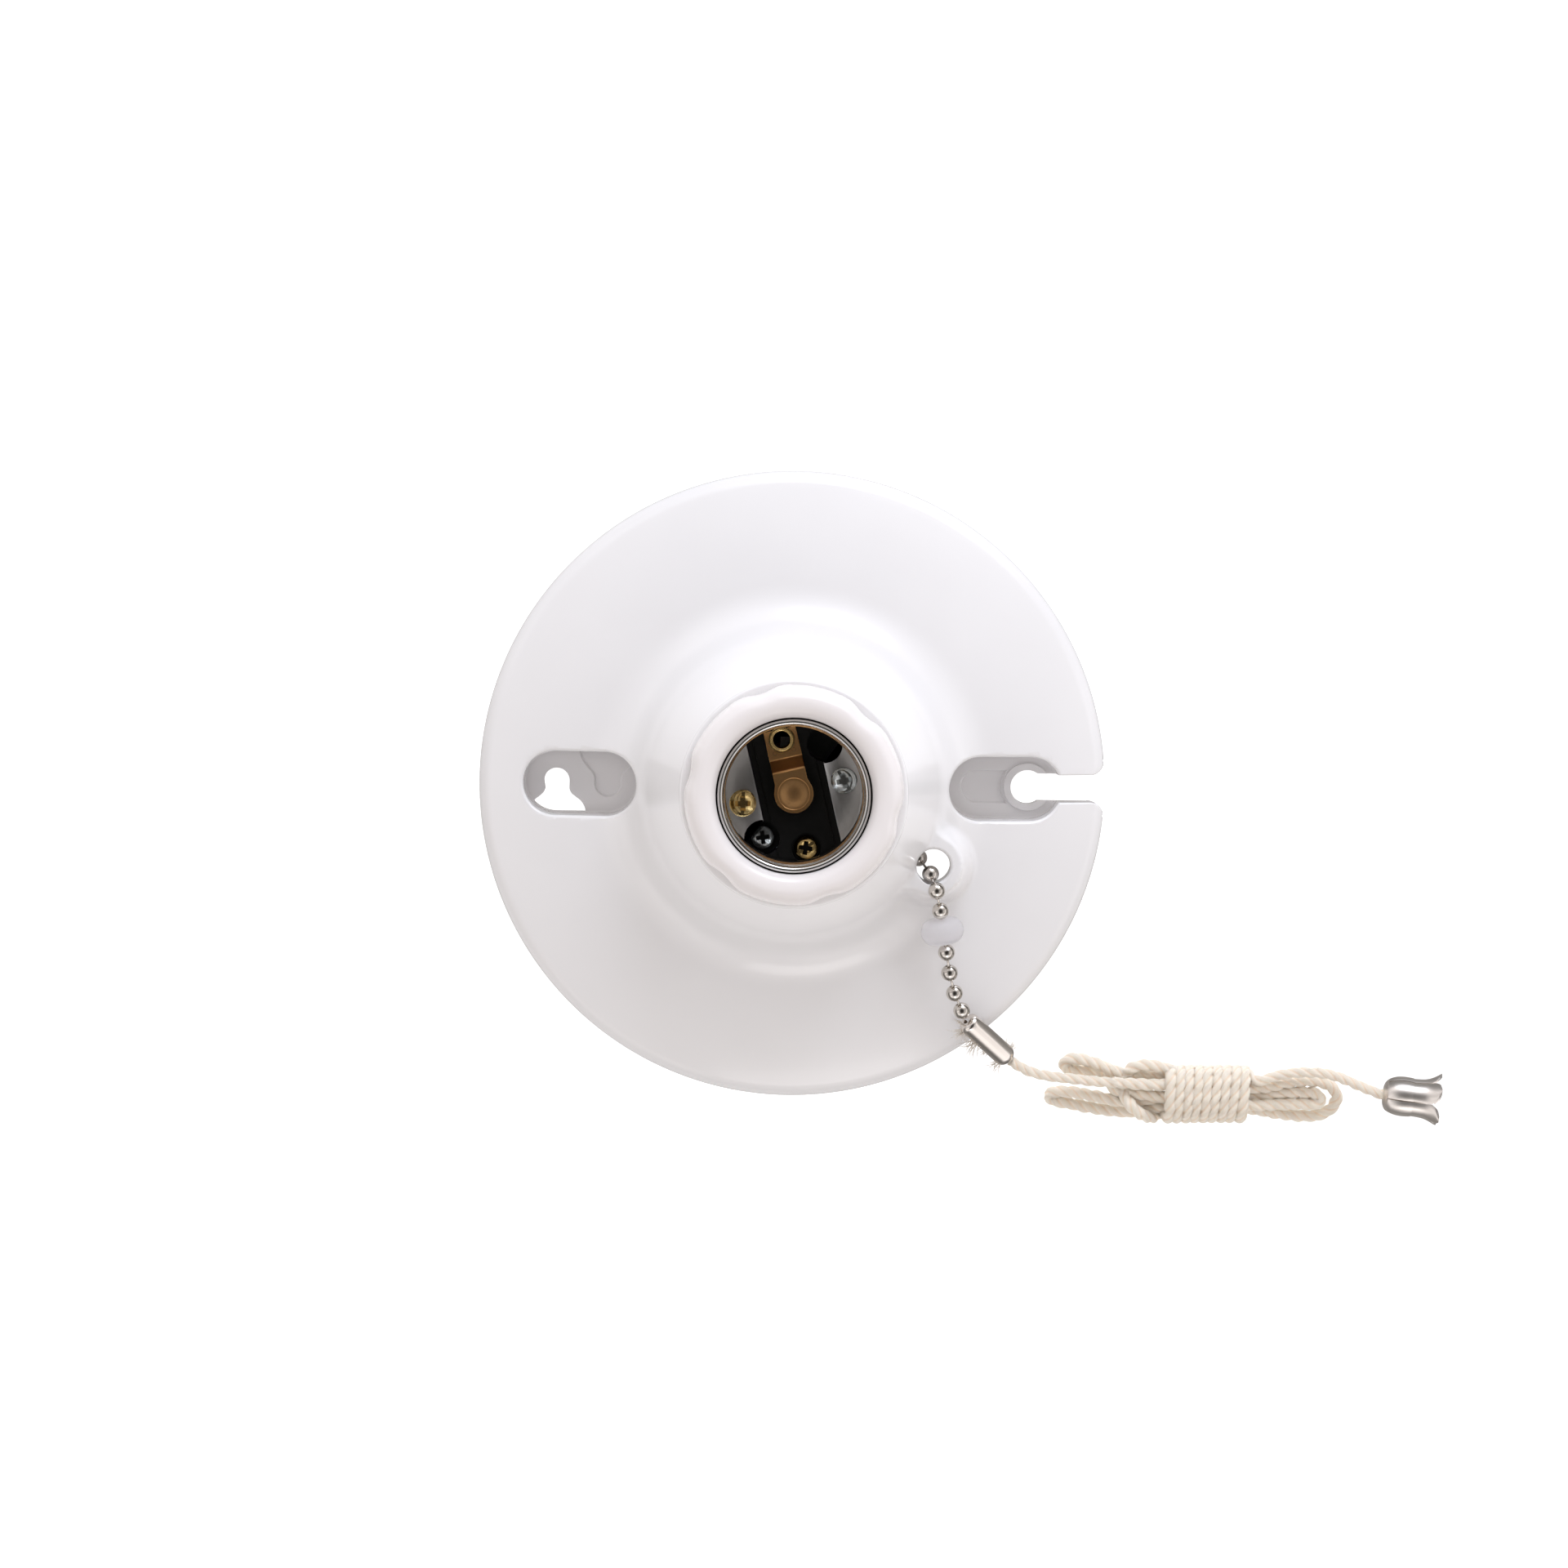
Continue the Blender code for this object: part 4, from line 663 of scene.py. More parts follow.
def make_shell(look, flange_look):
    """The threaded lamp shell with its rolled lip, and the two halves of the flange at its foot."""
    segments, rows = 180, 90
    heights = [SHELL_FOOT_Z + (SHELL_TOP_Z - 1.0 - SHELL_FOOT_Z) * k / (rows - 1) for k in range(rows)]
    rings = [[(shell_radius(TURN * k / segments, z), z) for k in range(segments)] for z in heights]
    lip = arc((SHELL_RIM_R - 0.35, SHELL_TOP_Z - 0.5), 0.5, 200, 20, 12)
    rings += [[point] * segments for point in lip]
    rings += [[(r + SHELL_SHEET, z) for r, z in ring] for ring in reversed(rings[:rows])]
    rings = [[(r * math.cos(TURN * k / segments), r * math.sin(TURN * k / segments), z)
              for k, (r, z) in enumerate(ring)] for ring in rings]
    dressed(ringed("lamp_shell", rings, loop=True), look, "base", "shell_metal", "screw_shell")
    for number, side in enumerate((-1, 1), 1):
        outline = [socket_xy(side * n, side * m) for n, m in flange_outline()]
        half = prism(f"shell_flange_{number}", outline, SHELL_FOOT_Z, FLANGE_TOP_Z, 0.28)
        screw_hole = circle(FLANGE_HOLE_R, socket_xy(side * SHELL_SCREW_N, 0.0), 32)
        half = boolean(half, "DIFFERENCE", prism("screw_hole", screw_hole, 28.0, 32.0))
        dressed(half, flange_look, "base", "shell_metal")


def make_block(look):
    """The black block under the shell: a disc with a raised rib, two wells and holes for rivet and screw."""
    block = prism("phenolic_block", circle(BLOCK_R, count=120), BLOCK_FOOT_Z, BLOCK_TOP_Z, 0.2)
    rib = prism("rib", box_outline((-RIB_HALF, RIB_HALF), (-12.1, 12.1), BAR_TILT), 28.0, RIB_TOP_Z, 0.18)
    rib = boolean(rib, "INTERSECT", prism("round", circle(12.2, count=90), 27.0, 31.0))
    tools = [prism("rivet_hole", circle(EYELET_HOLE_R, socket_xy(0.0, EYELET_M), 32), 20.0, 32.0),
             prism("block_recess", circle(2.7, socket_xy(0.0, BLOCK_SCREW_M), 40), 28.2, 32.0)]
    for side in (-1, 1):
        at = socket_xy(side * NOTCH_HOLE_AT[0], side * NOTCH_HOLE_AT[1])
        tools.append(prism("well", circle(NOTCH_HOLE_R, at), NOTCH_HOLE_FOOT_Z, 32.0))
    block = boolean(boolean(block, "UNION", rib), "DIFFERENCE", *tools)
    return dressed(block, look, "base", "phenolic", "contact_block", sharp=40.0)


def strip_outline():
    """The contact strip in plan, as (across, along): straight sides and a wider round end."""
    end = [(-STRIP_END_R * math.cos(a), STRIP_END_M - STRIP_END_R * math.sin(a))
           for a in [math.radians(-14 + 208 * k / 48) for k in range(49)]]
    side = [(STRIP_HALF, STRIP_WIDEN_M), (STRIP_HALF, STRIP_ROOT_M)]
    return [(-n, m) for n, m in reversed(side)] + end + side


def strip_half(m):
    """Half the strip's width at a place along it."""
    if m >= STRIP_WIDEN_M:
        return STRIP_HALF
    if m < STRIP_DOME_M:
        return math.sqrt(max(0.04, STRIP_END_R ** 2 - (m - STRIP_END_M) ** 2))
    widen = (STRIP_WIDEN_M - m) / (STRIP_WIDEN_M - STRIP_DOME_M)
    return STRIP_HALF + (STRIP_END_R * 0.97 - STRIP_HALF) * widen


def strip_height(m):
    """The strip's underside: flat at its root, sloped up, and flat again."""
    t = min(1.0, max(0.0, (STRIP_BEND_M - m) / (STRIP_BEND_M - STRIP_TOP_M)))
    return STRIP_BASE_Z + (STRIP_END_Z - STRIP_BASE_Z) * t


def make_strip(look):
    """The spring strip, cut from rows across its length so that it bends where the real one is creased."""
    creases = [m + step for m in (STRIP_BEND_M, STRIP_TOP_M) for step in (0.25, 0.0, -0.25)]
    along = {STRIP_ROOT_M, STRIP_WIDEN_M, *creases, *[m for _, m in strip_outline() if m < STRIP_WIDEN_M]}
    rings = []
    for m in sorted(along, reverse=True):
        half, foot, top = strip_half(m), strip_height(m), strip_height(m) + STRIP_THICK
        side = [(half - STRIP_EDGE, foot), (half, foot + STRIP_EDGE), (half, top - STRIP_EDGE),
                (half - STRIP_EDGE, top)]
        ring = [(-half + STRIP_EDGE, foot)] + side + [(-n, z) for n, z in side[:0:-1]]
        rings.append([(*socket_xy(n, m), z) for n, z in ring])
    eye = prism("eye", circle(EYELET_HOLE_R, socket_xy(0.0, EYELET_M), 40), 29.0, 33.0)
    strip = boolean(ringed("contact_strip", rings), "DIFFERENCE", eye)
    dome = turned("dimple", [(0.0, -0.1), (2.95, -0.1), (2.95, 0.03), (2.8, 0.12), (2.55, 0.14), (2.3, 0.18),
                             (1.6, 0.34), (0.9, 0.45), (0.0, 0.5)], 64)
    dome = placed(dome, (*socket_xy(0.0, STRIP_END_M), STRIP_END_Z + STRIP_THICK), UP)
    marks = []
    for n in (-1.75, 1.75):
        mark = turned("mark", [(0.28, 0.0), (0.28, 0.06), (0.42, 0.06), (0.42, 0.0)], 20)
        marks.append(placed(mark, (*socket_xy(n, 7.5), STRIP_BASE_Z + STRIP_THICK - 0.01), UP))
    strip = joined("contact_strip_part", strip, dome, *marks)
    return dressed(strip, look, "centre_contact", "bronze", "centre_contact", sharp=25.0)


def make_eyelet(look):
    """The hollow rivet that holds the strip, and the washer under its rim."""
    top = STRIP_BASE_Z + STRIP_THICK + 0.3
    rim = [(r, max(z, top)) for r, z in arc((1.83, top), 0.3, 0, 180, 14)]
    eyelet = turned("strip_eyelet", rim + [(1.53, 25.0), (1.65, 25.0), (1.65, top)], 48)
    washer = turned("washer", [(1.6, top - 0.12), (2.35, top - 0.12), (2.4, top - 0.02), (2.3, top + 0.08),
                               (1.9, top + 0.1), (1.6, top + 0.06)], 48)
    eyelet = placed(joined("contact_eyelet", eyelet, washer), (*socket_xy(0.0, EYELET_M), 0.0), UP)
    return dressed(eyelet, look, "base", "brass", "contact_rivet")


def make_screw(name, node, look, slot_name, at, radius, height, cross, slot, lean, domed):
    """A screw whose head is domed over a share of its height. Its cross recess and its slot, if it has one,
    are turned by angles in degrees."""
    shank, rise = radius * 0.5, height * domed
    dome_r = (radius ** 2 + rise ** 2) / (2 * rise)
    edge = math.degrees(math.acos(radius / dome_r))
    profile = [(0.0, -2.4), (shank, -2.4), (shank, 0.0), (radius - 0.1, 0.0), (radius, 0.12)]
    profile += arc((0.0, height - dome_r), dome_r, edge, 88, 12) + [(0.0, height)]
    head = turned(name, profile, 64)
    arm, width, above = radius * 0.62, radius * 0.2, height * 1.1
    tools = []
    for quarter in (0.0, math.pi / 2):
        turn = math.radians(cross) + quarter
        foot = box_outline((-arm * 0.6, arm * 0.6), (-width * 0.75, width * 0.75), turn)
        top = box_outline((-arm, arm), (-width, width), turn)
        tools.append(ringed("cross", [[(x, y, -0.8) for x, y in foot], [(x, y, above) for x, y in top]]))
    middle = [[(x * 0.5, y * 0.5, height * 0.2) for x, y in circle(radius * 0.3, count=24)],
              [(x, y, above) for x, y in circle(radius * 0.3, count=24)]]
    tools.append(ringed("middle", middle))
    if slot is not None:
        cut = box_outline((-2 * radius, 2 * radius), (-0.3, 0.3), math.radians(slot))
        tools.append(prism("slot", cut, height * 0.5, height * 2))
    head = placed(boolean(head, "DIFFERENCE", *tools), at, lean)
    return dressed(head, look, "base", slot_name, node, sharp=28.0)


def make_socket_screws(brass, zinc):
    """The four screws seen in the socket: one on each half of the flange, one in a well, one on the block."""
    flange, well = FLANGE_TOP_Z + 0.3, NOTCH_HOLE_FOOT_Z + 0.3
    left, right = socket_xy(-SHELL_SCREW_N, 0.0), socket_xy(SHELL_SCREW_N, 0.0)
    sunk, low = socket_xy(-NOTCH_HOLE_AT[0], -NOTCH_HOLE_AT[1]), socket_xy(0.0, BLOCK_SCREW_M)
    make_screw("brass_screw", "shell_screw_brass", brass, "brass", (*left, flange), 2.45, 1.5, 2, 88, UP, 0.7)
    make_screw("zinc_screw", "shell_screw_zinc", zinc, "zinc", (*right, flange), 2.4, 1.5, 14, -58, UP, 0.7)
    make_screw("well_screw", "case_screw", zinc, "zinc", (*sunk, well), 2.05, 1.3, 8, None, UP, 0.2)
    make_screw("tilted_screw", "block_screw", brass, "brass", (*low, 28.75), 2.2, 1.5, 24, -22,
               (-0.1, 0.06, 1.0), 0.7)


# --- Chain ---

def bead(at, toward):
    """A hollow ball of sheet metal: its seam ends turn in slightly round the holes that its links pass."""
    hole = 0.5
    start = math.degrees(math.acos(hole / BEAD_R))
    outside = arc((0.0, 0.0), BEAD_R, -start, start, 25)
    profile = [(hole - 0.06, outside[0][1] + 0.16)] + outside + [(hole - 0.06, outside[-1][1] - 0.16)]
    profile = [(0.0, profile[0][1])] + profile + [(0.0, profile[-1][1])]
    return placed(turned("ball", profile, 36), at, toward)


def half_link(start, end):
    """A dumb-bell pin's half on one bead's side: waisted, and a little wider where it enters the bead."""
    half = (end - start).length / 2
    profile = [(0.0, 0.3), (LINK_R, 0.3), (LINK_R, BEAD_R - 0.1), (LINK_R * 0.82, BEAD_R + 0.12),
               (LINK_R * 0.74, half), (0.0, half)]
    return placed(turned("pin", profile, 20), start, end - start)


def chain_piece(name, before, beads, after, look, body, node):
    """Beads on one body, with the links between them and half of the links to their neighbours, if any."""
    pieces = []
    row = [before, *beads, after]
    for back, point, on in zip(row, row[1:], row[2:]):
        toward = (on if on is not None else point) - (back if back is not None else point)
        pieces.append(bead(point, toward))
        pieces += [half_link(point, other) for other in (back, on) if other is not None]
    return dressed(joined(name, *pieces), look, body, "nickel", node, sharp=40.0)


def make_chain(nickel, nylon):
    """The ball chain in pieces, one for each body that it rides on, and the insulating barrel in it."""
    run = [run_point(BEAD_PITCH * (RUN_BEADS + 1 - k)) for k in range(RUN_BEADS)]
    outlet = [run_point(BEAD_PITCH)] + [Vector(p) for p in OUTLET_BEADS]
    lower = [Vector(p) for p in LOWER_BEADS]
    barrel_way = (lower[0] - outlet[-1]).normalized()
    step = barrel_way * BEAD_PITCH
    entry = Vector(SLEEVE_A) + (Vector(SLEEVE_B) - Vector(SLEEVE_A)).normalized() * 1.2
    chain_piece("run_beads", run_point(BEAD_PITCH * (RUN_BEADS + 2)), run, outlet[0], nickel, "inner_chain",
                "chain_inner")
    row = [run[-1], *outlet, outlet[-1] + step]
    for number, (before, here, after) in enumerate(zip(row, row[1:], row[2:]), 1):
        body = "pull_chain" if number == len(outlet) else f"bead_{number}"
        chain_piece(f"outlet_bead_{number}", before, [here], after, nickel, body, f"chain_bead_{number}")
    chain_piece("lower_beads", lower[0] - step, lower, entry, nickel, "pull_chain", "chain_lower")

    half, full = INSULATOR_HALF, INSULATOR_R
    outer = bend((0.7, -half), (full - 0.6, -half), (full - 0.35, -half * 0.5), 12)
    outer += bend(outer[-1], (full + 0.35, 0.0), (full - 0.35, half * 0.5), 12)
    outer += bend(outer[-1], (full - 0.6, half), (0.7, half), 12)
    profile = [(0.0, -half + 0.2)] + outer + [(0.0, half - 0.2)]
    level = (barrel_way.x, barrel_way.y, 0.25 * barrel_way.z)
    barrel = placed(turned("nylon_barrel", profile, 72), INSULATOR_AT, level)
    dressed(barrel, nylon, "pull_chain", "nylon", "insulator_link")


def make_sleeve(look):
    """A tube rolled from sheet with an open seam, closed down round the cord at its far end."""
    start, end = Vector(SLEEVE_A), Vector(SLEEVE_B)
    length, opening, seam, columns = (end - start).length, math.radians(26), math.radians(-78), 48

    def rounded(depth, drop):
        turns = [math.radians(a) for a in range(0, 91, 10)]
        return [(depth * (1 - math.cos(a)), SLEEVE_R - drop * (1 - math.sin(a))) for a in turns]

    stations = rounded(0.9, 1.1) + [(1.6, SLEEVE_R), (length * 0.5, SLEEVE_R)]
    stations += [(length - z, radius) for z, radius in reversed(rounded(1.3, 0.62))]
    turn = [seam + opening / 2 + (TURN - opening) * k / columns for k in range(columns + 1)]
    rings = []
    for z, radius in stations:
        inner = radius - SLEEVE_SHEET
        outside = [(radius * math.cos(a), radius * math.sin(a), z) for a in turn]
        rings.append(outside + [(inner * math.cos(a), inner * math.sin(a), z) for a in reversed(turn)])
    tube = placed(ringed("cord_sleeve", rings), start, end - start)
    return dressed(tube, look, "pull_chain", "nickel", "connector_sleeve", sharp=40.0)


def make_bell(look):
    """A tulip of thin sheet: a domed cap round the cord, and petals that part at slots and curl out."""
    start, mouth = Vector(BELL_AT), Vector(BELL_MOUTH_AT)
    wall = bend((0.95, 0.3), (3.1, 0.2), (3.65, 2.6), 10)
    wall += bend(wall[-1], (3.95, 4.0), (3.7, 5.8), 8) + bend(wall[-1], (3.45, 7.4), (4.0, 9.0), 8)
    wall += bend(wall[-1], (4.35, 10.0), (4.95, 10.9), 7)
    sheet, columns, first, swell, gap = 0.26, 18, math.radians(97), 0.3, 0.13
    cap = [(r, z) for r, z in wall if z < 1.2]
    pieces = [turned("cap", cap + [(r - sheet, z + 0.12) for r, z in reversed(cap)], 60)]
    for number in range(BELL_PETALS):
        middle = first + TURN * (number + 0.5) / BELL_PETALS
        rings = []
        for radius, z in wall[2:]:
            narrow = max(0.0, (z - 8.2) / 2.75)
            half = (math.pi / BELL_PETALS - gap / radius) * math.sqrt(max(0.04, 1.0 - narrow ** 3.2))
            bulge = swell * min(1.0, (z - wall[2][1]) / 1.5)
            outside, inside = [], []
            for k in range(columns + 1):
                a = middle + half * (2 * k / columns - 1)
                off = ((a - middle) / half) ** 2
                r = radius + swell * narrow * (1 - off) - bulge * off
                outside.append((r * math.cos(a), r * math.sin(a), z))
                inside.append(((r - sheet) * math.cos(a), (r - sheet) * math.sin(a), z + 0.05))
            rings.append(outside + inside[::-1])
        pieces.append(ringed("petal", rings))
    bell = placed(joined("petal_bell", *pieces), start, mouth - start)
    return dressed(bell, look, "pull_chain", "nickel", "end_bell", sharp=50.0)


# --- Cord ---

def smooth_route(route, step):
    """Points about step apart on a smooth curve through a route's own points."""
    knots = [Vector(p) for p in route]
    knots = [2 * knots[0] - knots[1]] + knots + [2 * knots[-1] - knots[-2]]
    points = [knots[1]]
    for a, b, c, d in zip(knots, knots[1:], knots[2:], knots[3:]):
        count = max(1, round((c - b).length / step))
        for k in range(1, count + 1):
            t = k / count
            points.append(0.5 * (2 * b + (c - a) * t + (2 * a - 5 * b + 4 * c - d) * t ** 2
                                 + (3 * b - a - 3 * c + d) * t ** 3))
    return points


def wraps():
    """The turns wound round the folds, a little unevenly, starting under them on the near side."""
    points, per_turn, start, square = [], 16, -0.62 * math.pi, 2.5
    total = WRAP_TURNS * per_turn
    for k in range(total - 3):
        a = start - TURN * k / per_turn
        x = WRAP_FIRST_X + (WRAP_LAST_X - WRAP_FIRST_X) * k / total
        wobble = 0.14 * math.sin(2.1 * k / per_turn * math.pi + 0.7)
        x += 0.13 * math.sin(2 * a) * (1 if (k // per_turn) % 2 else -0.7)
        reach = (abs(math.cos(a)) ** square + abs(math.sin(a)) ** square) ** (-1 / square)
        points.append((x + wobble, WRAP_CENTRE[0] + (WRAP_HALF_Y + wobble) * reach * math.cos(a),
                       WRAP_CENTRE[1] + WRAP_HALF_Z * reach * math.sin(a)))
    return points


def cord_route():
    return [*LEAD_ROUTE, *OUTER_FOLD, *LOWER_FOLD, *INNER_FOLD, *UPPER_FOLD, *HITCH, *wraps(), *TAIL_ROUTE]


def cord_section(around):
    """The cord's section, as (angle, radius, 0 in the grooves to 1 on the strands), with a lobe a strand."""
    section, lobe, centre, valley = [], TURN / STRANDS, CORD_R - STRAND_R, 0.715 * CORD_R
    for k in range(around):
        angle = TURN * k / around
        a = (angle + lobe / 2) % lobe - lobe / 2
        reach = centre * math.cos(a) + math.sqrt(max(0.0, STRAND_R ** 2 - (centre * math.sin(a)) ** 2))
        section.append((angle, reach, max(0.0, min(1.0, (reach - valley) / (CORD_R - valley)))))
    return section


def make_cord(look):
    """Three strands laid together, as one tube with a three-lobed section that turns along the route."""
    path = smooth_route(cord_route(), CORD_STEP)
    path = [p for k, p in enumerate(path) if k == 0 or (p - path[k - 1]).length > 0.02]
    around = 27
    section = cord_section(around)
    normal, rings, along, travelled = Vector(UP), [], [], 0.0
    for k, point in enumerate(path):
        way = (path[min(k + 1, len(path) - 1)] - path[max(k - 1, 0)]).normalized()
        normal = (normal - way * normal.dot(way)).normalized()
        side = way.cross(normal)
        travelled += (point - path[k - 1]).length if k else 0.0
        swell = 1.0 + 0.05 * math.sin(travelled * 1.9) * math.sin(travelled * 0.37)
        free = min(travelled - LEAD_LENGTH, len(path) * CORD_STEP - TAIL_LENGTH - travelled)
        swell *= 0.86 + 0.14 * min(1.0, max(0.0, free / 5.0))
        ring = []
        for angle, reach, _ in section:
            a = angle + TURN * travelled / CORD_LAY
            ring.append(point + (normal * math.cos(a) + side * math.sin(a)) * reach * swell)
        rings.append(ring)
        along.append(travelled)
    cord = ringed("cotton_cord", rings)
    cord.data.attributes.new("laid", "FLOAT_VECTOR", "POINT")
    cord.data.attributes.new("groove", "FLOAT", "POINT")
    laid, groove = cord.data.attributes["laid"], cord.data.attributes["groove"]
    for i, distance in enumerate(along):
        for k, (angle, _, height) in enumerate(section):
            turn = angle / TURN * around
            strand = k * STRANDS // around
            laid.data[i * around + k].vector = (distance - 0.35 * turn, turn + 0.9 * distance, 7.0 * strand)
            groove.data[i * around + k].value = height
    dressed(cord, look, "pull_chain", "cotton", "cord_lead", "cord_hank", "cord_tail", sharp=180.0)
    return cord, path


def hair(root, out, curl, length, thick):
    """One loose fibre: a thin tapered tube that leaves root along out and bends towards curl."""
    across = out.orthogonal().normalized()
    other = out.cross(across).normalized()
    rings, steps = [], 6
    for k in range(steps + 1):
        t = k / steps
        centre = root + out * length * t + curl * length * t * t
        centre.z = max(centre.z, 0.3)
        r = thick * (1 - 0.75 * t)
        rings.append([centre + (across * math.cos(b) + other * math.sin(b)) * r for b in (0.0, 2.1, 4.2)])
    return ringed("hair", rings)


def make_fray(look, path):
    """Loose cotton fibres: tufts where the sleeve grips the cord's end, and fine fuzz along the cord."""
    chance = random.Random(11)
    start, end = Vector(SLEEVE_A), Vector(SLEEVE_B)
    way = (end - start).normalized()
    side = way.cross(Vector(UP)).normalized()
    up = side.cross(way)
    hairs = []
    # Distance along the sleeve, way out, number of fibres and their longest reach
    tufts = ((1.4, side, 22, 3.2), (4.6, side, 24, 3.9), (7.4, side, 8, 2.0), (11.4, side, 16, 2.8),
             (11.0, -side, 14, 2.2), (1.2, side * 0.6 - way, 8, 2.0))
    for distance, lean, count, reach in tufts:
        lean = lean.normalized()
        for _ in range(count):
            root = start + way * (distance + chance.uniform(-0.9, 0.9)) + lean * (SLEEVE_R - 0.55)
            out = lean + way * chance.uniform(-0.9, 0.7) + up * chance.uniform(-0.35, 0.2)
            curl = (way * chance.uniform(-1, 1) + up * chance.uniform(-0.7, 0.4)) * 0.5
            length = reach * chance.uniform(0.5, 1.0)
            hairs.append(hair(root, out.normalized(), curl, length, chance.uniform(0.07, 0.15)))
    for _ in range(FUZZ_COUNT):
        k = chance.randrange(20, len(path) - 20)
        way = (path[k + 1] - path[k - 1]).normalized()
        out = Vector((chance.gauss(0, 1), chance.gauss(0, 1), abs(chance.gauss(0, 1))))
        out = (out - way * out.dot(way)).normalized()
        lean = (out + way * chance.uniform(-2.0, 2.0)).normalized()
        curl = way * chance.uniform(-0.8, 0.8) - out * 0.4
        length = chance.uniform(0.7, 1.6)
        hairs.append(hair(path[k] + out * CORD_R * 0.75, lean, curl, length, chance.uniform(0.025, 0.05)))
    return dressed(joined("cord_fray", *hairs), look, "pull_chain", "cotton", sharp=180.0)


# --- Stage ---

def make_camera():
    data = bpy.data.cameras.new("camera")
    data.lens, data.sensor_width = CAMERA_LENS, CAMERA_SENSOR
    camera = bpy.data.objects.new("camera", data)
    way = Vector(CAMERA_WAY).normalized()
    right = way.cross(Vector((math.sin(-CAMERA_ROLL), math.cos(CAMERA_ROLL), 0.0))).normalized()
    turn = Matrix((right, right.cross(way), -way)).transposed().to_4x4()
    camera.matrix_world = Matrix.Translation(CAMERA_AT) @ turn
    bpy.context.scene.collection.objects.link(camera)
    bpy.context.scene.camera = camera


def make_lights():
    """Five soft boxes round the part. Only the key and the low one are mirrored. Sizes are in metres."""
    boxes = (("key", (0.28, 1.0, 0.50), 0.60, 0.35, 7.3), ("right", (0.95, 0.25, 0.60), 0.4, 0.4, 1.0),
             ("left", (-0.95, 0.15, 0.65), 0.4, 0.4, 0.8), ("low", (0.1, -0.95, 0.75), 0.6, 0.3, 0.95),
             ("top", (0.0, 0.1, 1.6), 0.9, 0.9, 3.2))
    cool, warm = (0.80, 0.87, 1.0), (1.0, 0.97, 0.96)
    for name, at, width, height, power in boxes:
        data = bpy.data.lights.new(name, "AREA")
        data.color = cool if name == "key" else warm
        data.shape, data.size, data.size_y, data.energy = "RECTANGLE", width, height, power
        lamp = bpy.data.objects.new(name, data)
        lamp.location = at
        lamp.rotation_euler = (-Vector(at)).to_track_quat("-Z", "Y").to_euler()
        lamp.visible_glossy = name in ("key", "low")
        bpy.context.scene.collection.objects.link(lamp)


def make_world():
    """A pale room in soft patches, dimmer at the floor and dark overhead, for polished metal to mirror."""
    world = bpy.data.worlds.new("world")
    bpy.context.scene.world = world
    world.use_nodes = True
    background = world.node_tree.nodes["Background"]
    direction = add_node(world, "TexCoord").outputs["Generated"]
    parts, colours = add_node(world, "SeparateXYZ"), add_node(world, "ValToRGB")
    stops = colours.color_ramp.elements
    stops[0].position, stops[0].color = 0.0, (0.28, 0.27, 0.26, 1.0)
    stops[1].position, stops[1].color = 1.0, (0.05, 0.045, 0.04, 1.0)
    for position, level in ((0.12, 0.3), (0.3, 1.0), (0.72, 1.0), (0.85, 0.4), (0.94, 0.09)):
        stops.new(position).color = (level, level * 0.965, level * 0.96, 1.0)
    link(world, direction, parts.inputs["Vector"])
    link(world, parts.outputs["Z"], colours.inputs["Fac"])
    link(world, colours.outputs["Color"], background.inputs["Color"])
    patches = add_node(world, "TexNoise", Scale=1.7, Detail=1.0)
    link(world, direction, patches.inputs["Vector"])
    link(world, ramp(world, patches.outputs["Fac"], 0.40, 0.58, 0.65, 1.3), background.inputs["Strength"])


def make_floor():
    """The bright ground just below the part."""
    size, z = 3.0, -0.0002
    mesh = bpy.data.meshes.new("floor")
    corners = [(-size, -size, z), (size, -size, z), (size, size, z), (-size, size, z)]
    mesh.from_pydata(corners, [], [(0, 1, 2, 3)])
    floor = bpy.data.objects.new("floor", mesh)
    bpy.context.scene.collection.objects.link(floor)
    look = surface("floor", (0.6, 0.6, 0.6), 0.9, Emission_Color=(1.0, 1.0, 1.0, 1.0), Emission_Strength=0.75)
    mesh.materials.append(look)
    floor.visible_glossy = False


# --- Everything ---

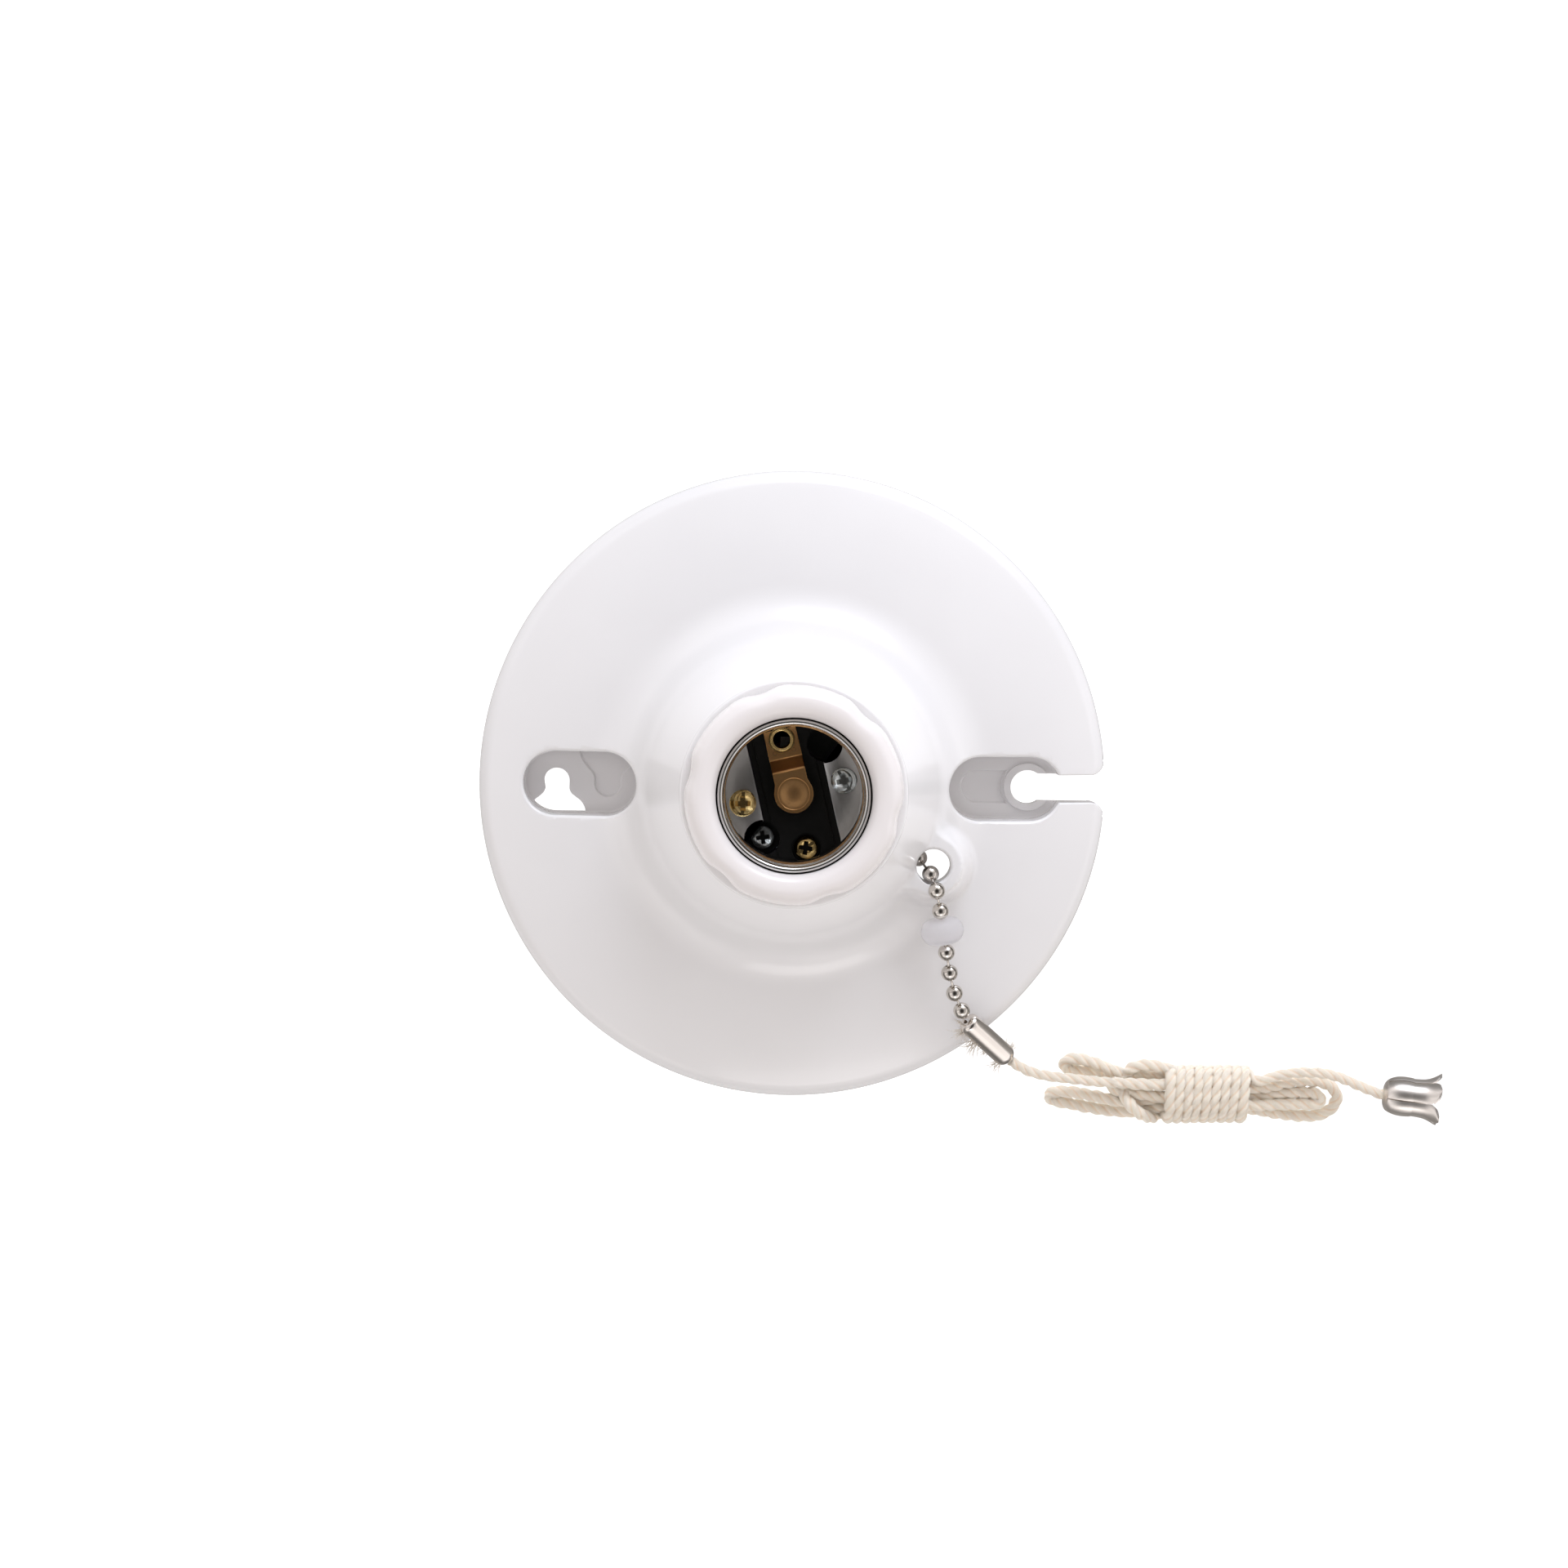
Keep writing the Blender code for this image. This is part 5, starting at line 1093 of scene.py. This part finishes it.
def main():
    """Builds every piece, dresses the hidden CAD nodes and sets the stage."""
    scene = bpy.context.scene
    scene.view_settings.view_transform = "Standard"
    make_camera()
    cord, path = make_cord(cotton())
    # The loose fibres' greyer, darker cotton colour is painted shade, so that the pale fibres show against
    # the bright ground.
    fray = make_fray(surface("loose_cotton", (0.80, 0.74, 0.66), 0.9, Sheen_Weight=0.2), path)

    white = moulding("glossy_white", IVORY, (0.785, 0.77, 0.77), 0.2, Coat_Weight=0.4, Coat_Roughness=0.08)
    warm = moulding("warm_white", WARM_WHITE, (0.795, 0.755, 0.745), 0.25)
    shell = plated("shell_metal", (0.74, 0.73, 0.71), (0.66, 0.65, 0.63), 0.2, scratch=(1.0, 1.0, 0.05))
    flange = plated("flange_metal", (0.68, 0.67, 0.66), (0.62, 0.61, 0.60), 0.33, depth=0.0)
    phenolic = moulding("phenolic", (0.004, 0.0035, 0.003), (0.006, 0.005, 0.004), 0.5,
                        Specular_IOR_Level=0.2)
    bronze = plated("bronze", (0.95, 0.54, 0.23), (0.86, 0.47, 0.19), 0.3, depth=0.0)
    painted_bend_shade(bronze)
    brass = plated("brass", (0.82, 0.62, 0.28), (0.74, 0.52, 0.22), 0.16, depth=0.001)
    zinc = plated("zinc", (0.66, 0.69, 0.69), (0.58, 0.61, 0.61), 0.2, depth=0.001)
    nickel = plated("nickel", (0.66, 0.62, 0.57), (0.61, 0.57, 0.53), 0.12, depth=0.001)
    satin = plated("satin_nickel", (0.82, 0.77, 0.72), (0.78, 0.73, 0.68), 0.17, depth=0.0)
    brushed = plated("brushed_nickel", (0.90, 0.85, 0.80), (0.84, 0.79, 0.74), 0.36, depth=0.0)
    steel = plated("steel", (0.45, 0.45, 0.46), (0.38, 0.38, 0.39), 0.3)
    fibre = moulding("fibre", (0.22, 0.05, 0.03), (0.17, 0.04, 0.03), 0.6)
    nylon = surface("nylon", (0.88, 0.87, 0.89), 0.3, Transmission_Weight=0.78, IOR=1.2,
                    Subsurface_Weight=0.3, Subsurface_Radius=(1.0, 1.0, 1.0), Subsurface_Scale=0.002)
    relief(nylon, grain(nylon, 500.0, 1.0), 0.01)

    make_housing(white)
    make_collar(warm)
    make_shell(shell, flange)
    make_block(phenolic)
    make_strip(bronze)
    make_eyelet(brass)
    make_socket_screws(brass, zinc)
    make_chain(nickel, nylon)
    sleeve = make_sleeve(satin)
    bell = make_bell(brushed)

    hidden = ((phenolic, ["switch_case"]), (fibre, ["rotor", "rear_plate"]), (bronze, ["pawl_spring"]),
              (brass, ["line_contact", "load_contact", "rotor_contact"]),
              (brass, ["line_terminal", "line_terminal_screw"]),
              (steel, ["pull_lever", "return_spring", "axle_pin"]),
              (zinc, ["neutral_terminal", "neutral_terminal_screw"]))
    for look, nodes in hidden:
        for node in nodes:
            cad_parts[node].material_slots[0].material = look

    make_floor()
    make_world()
    make_lights()


main()
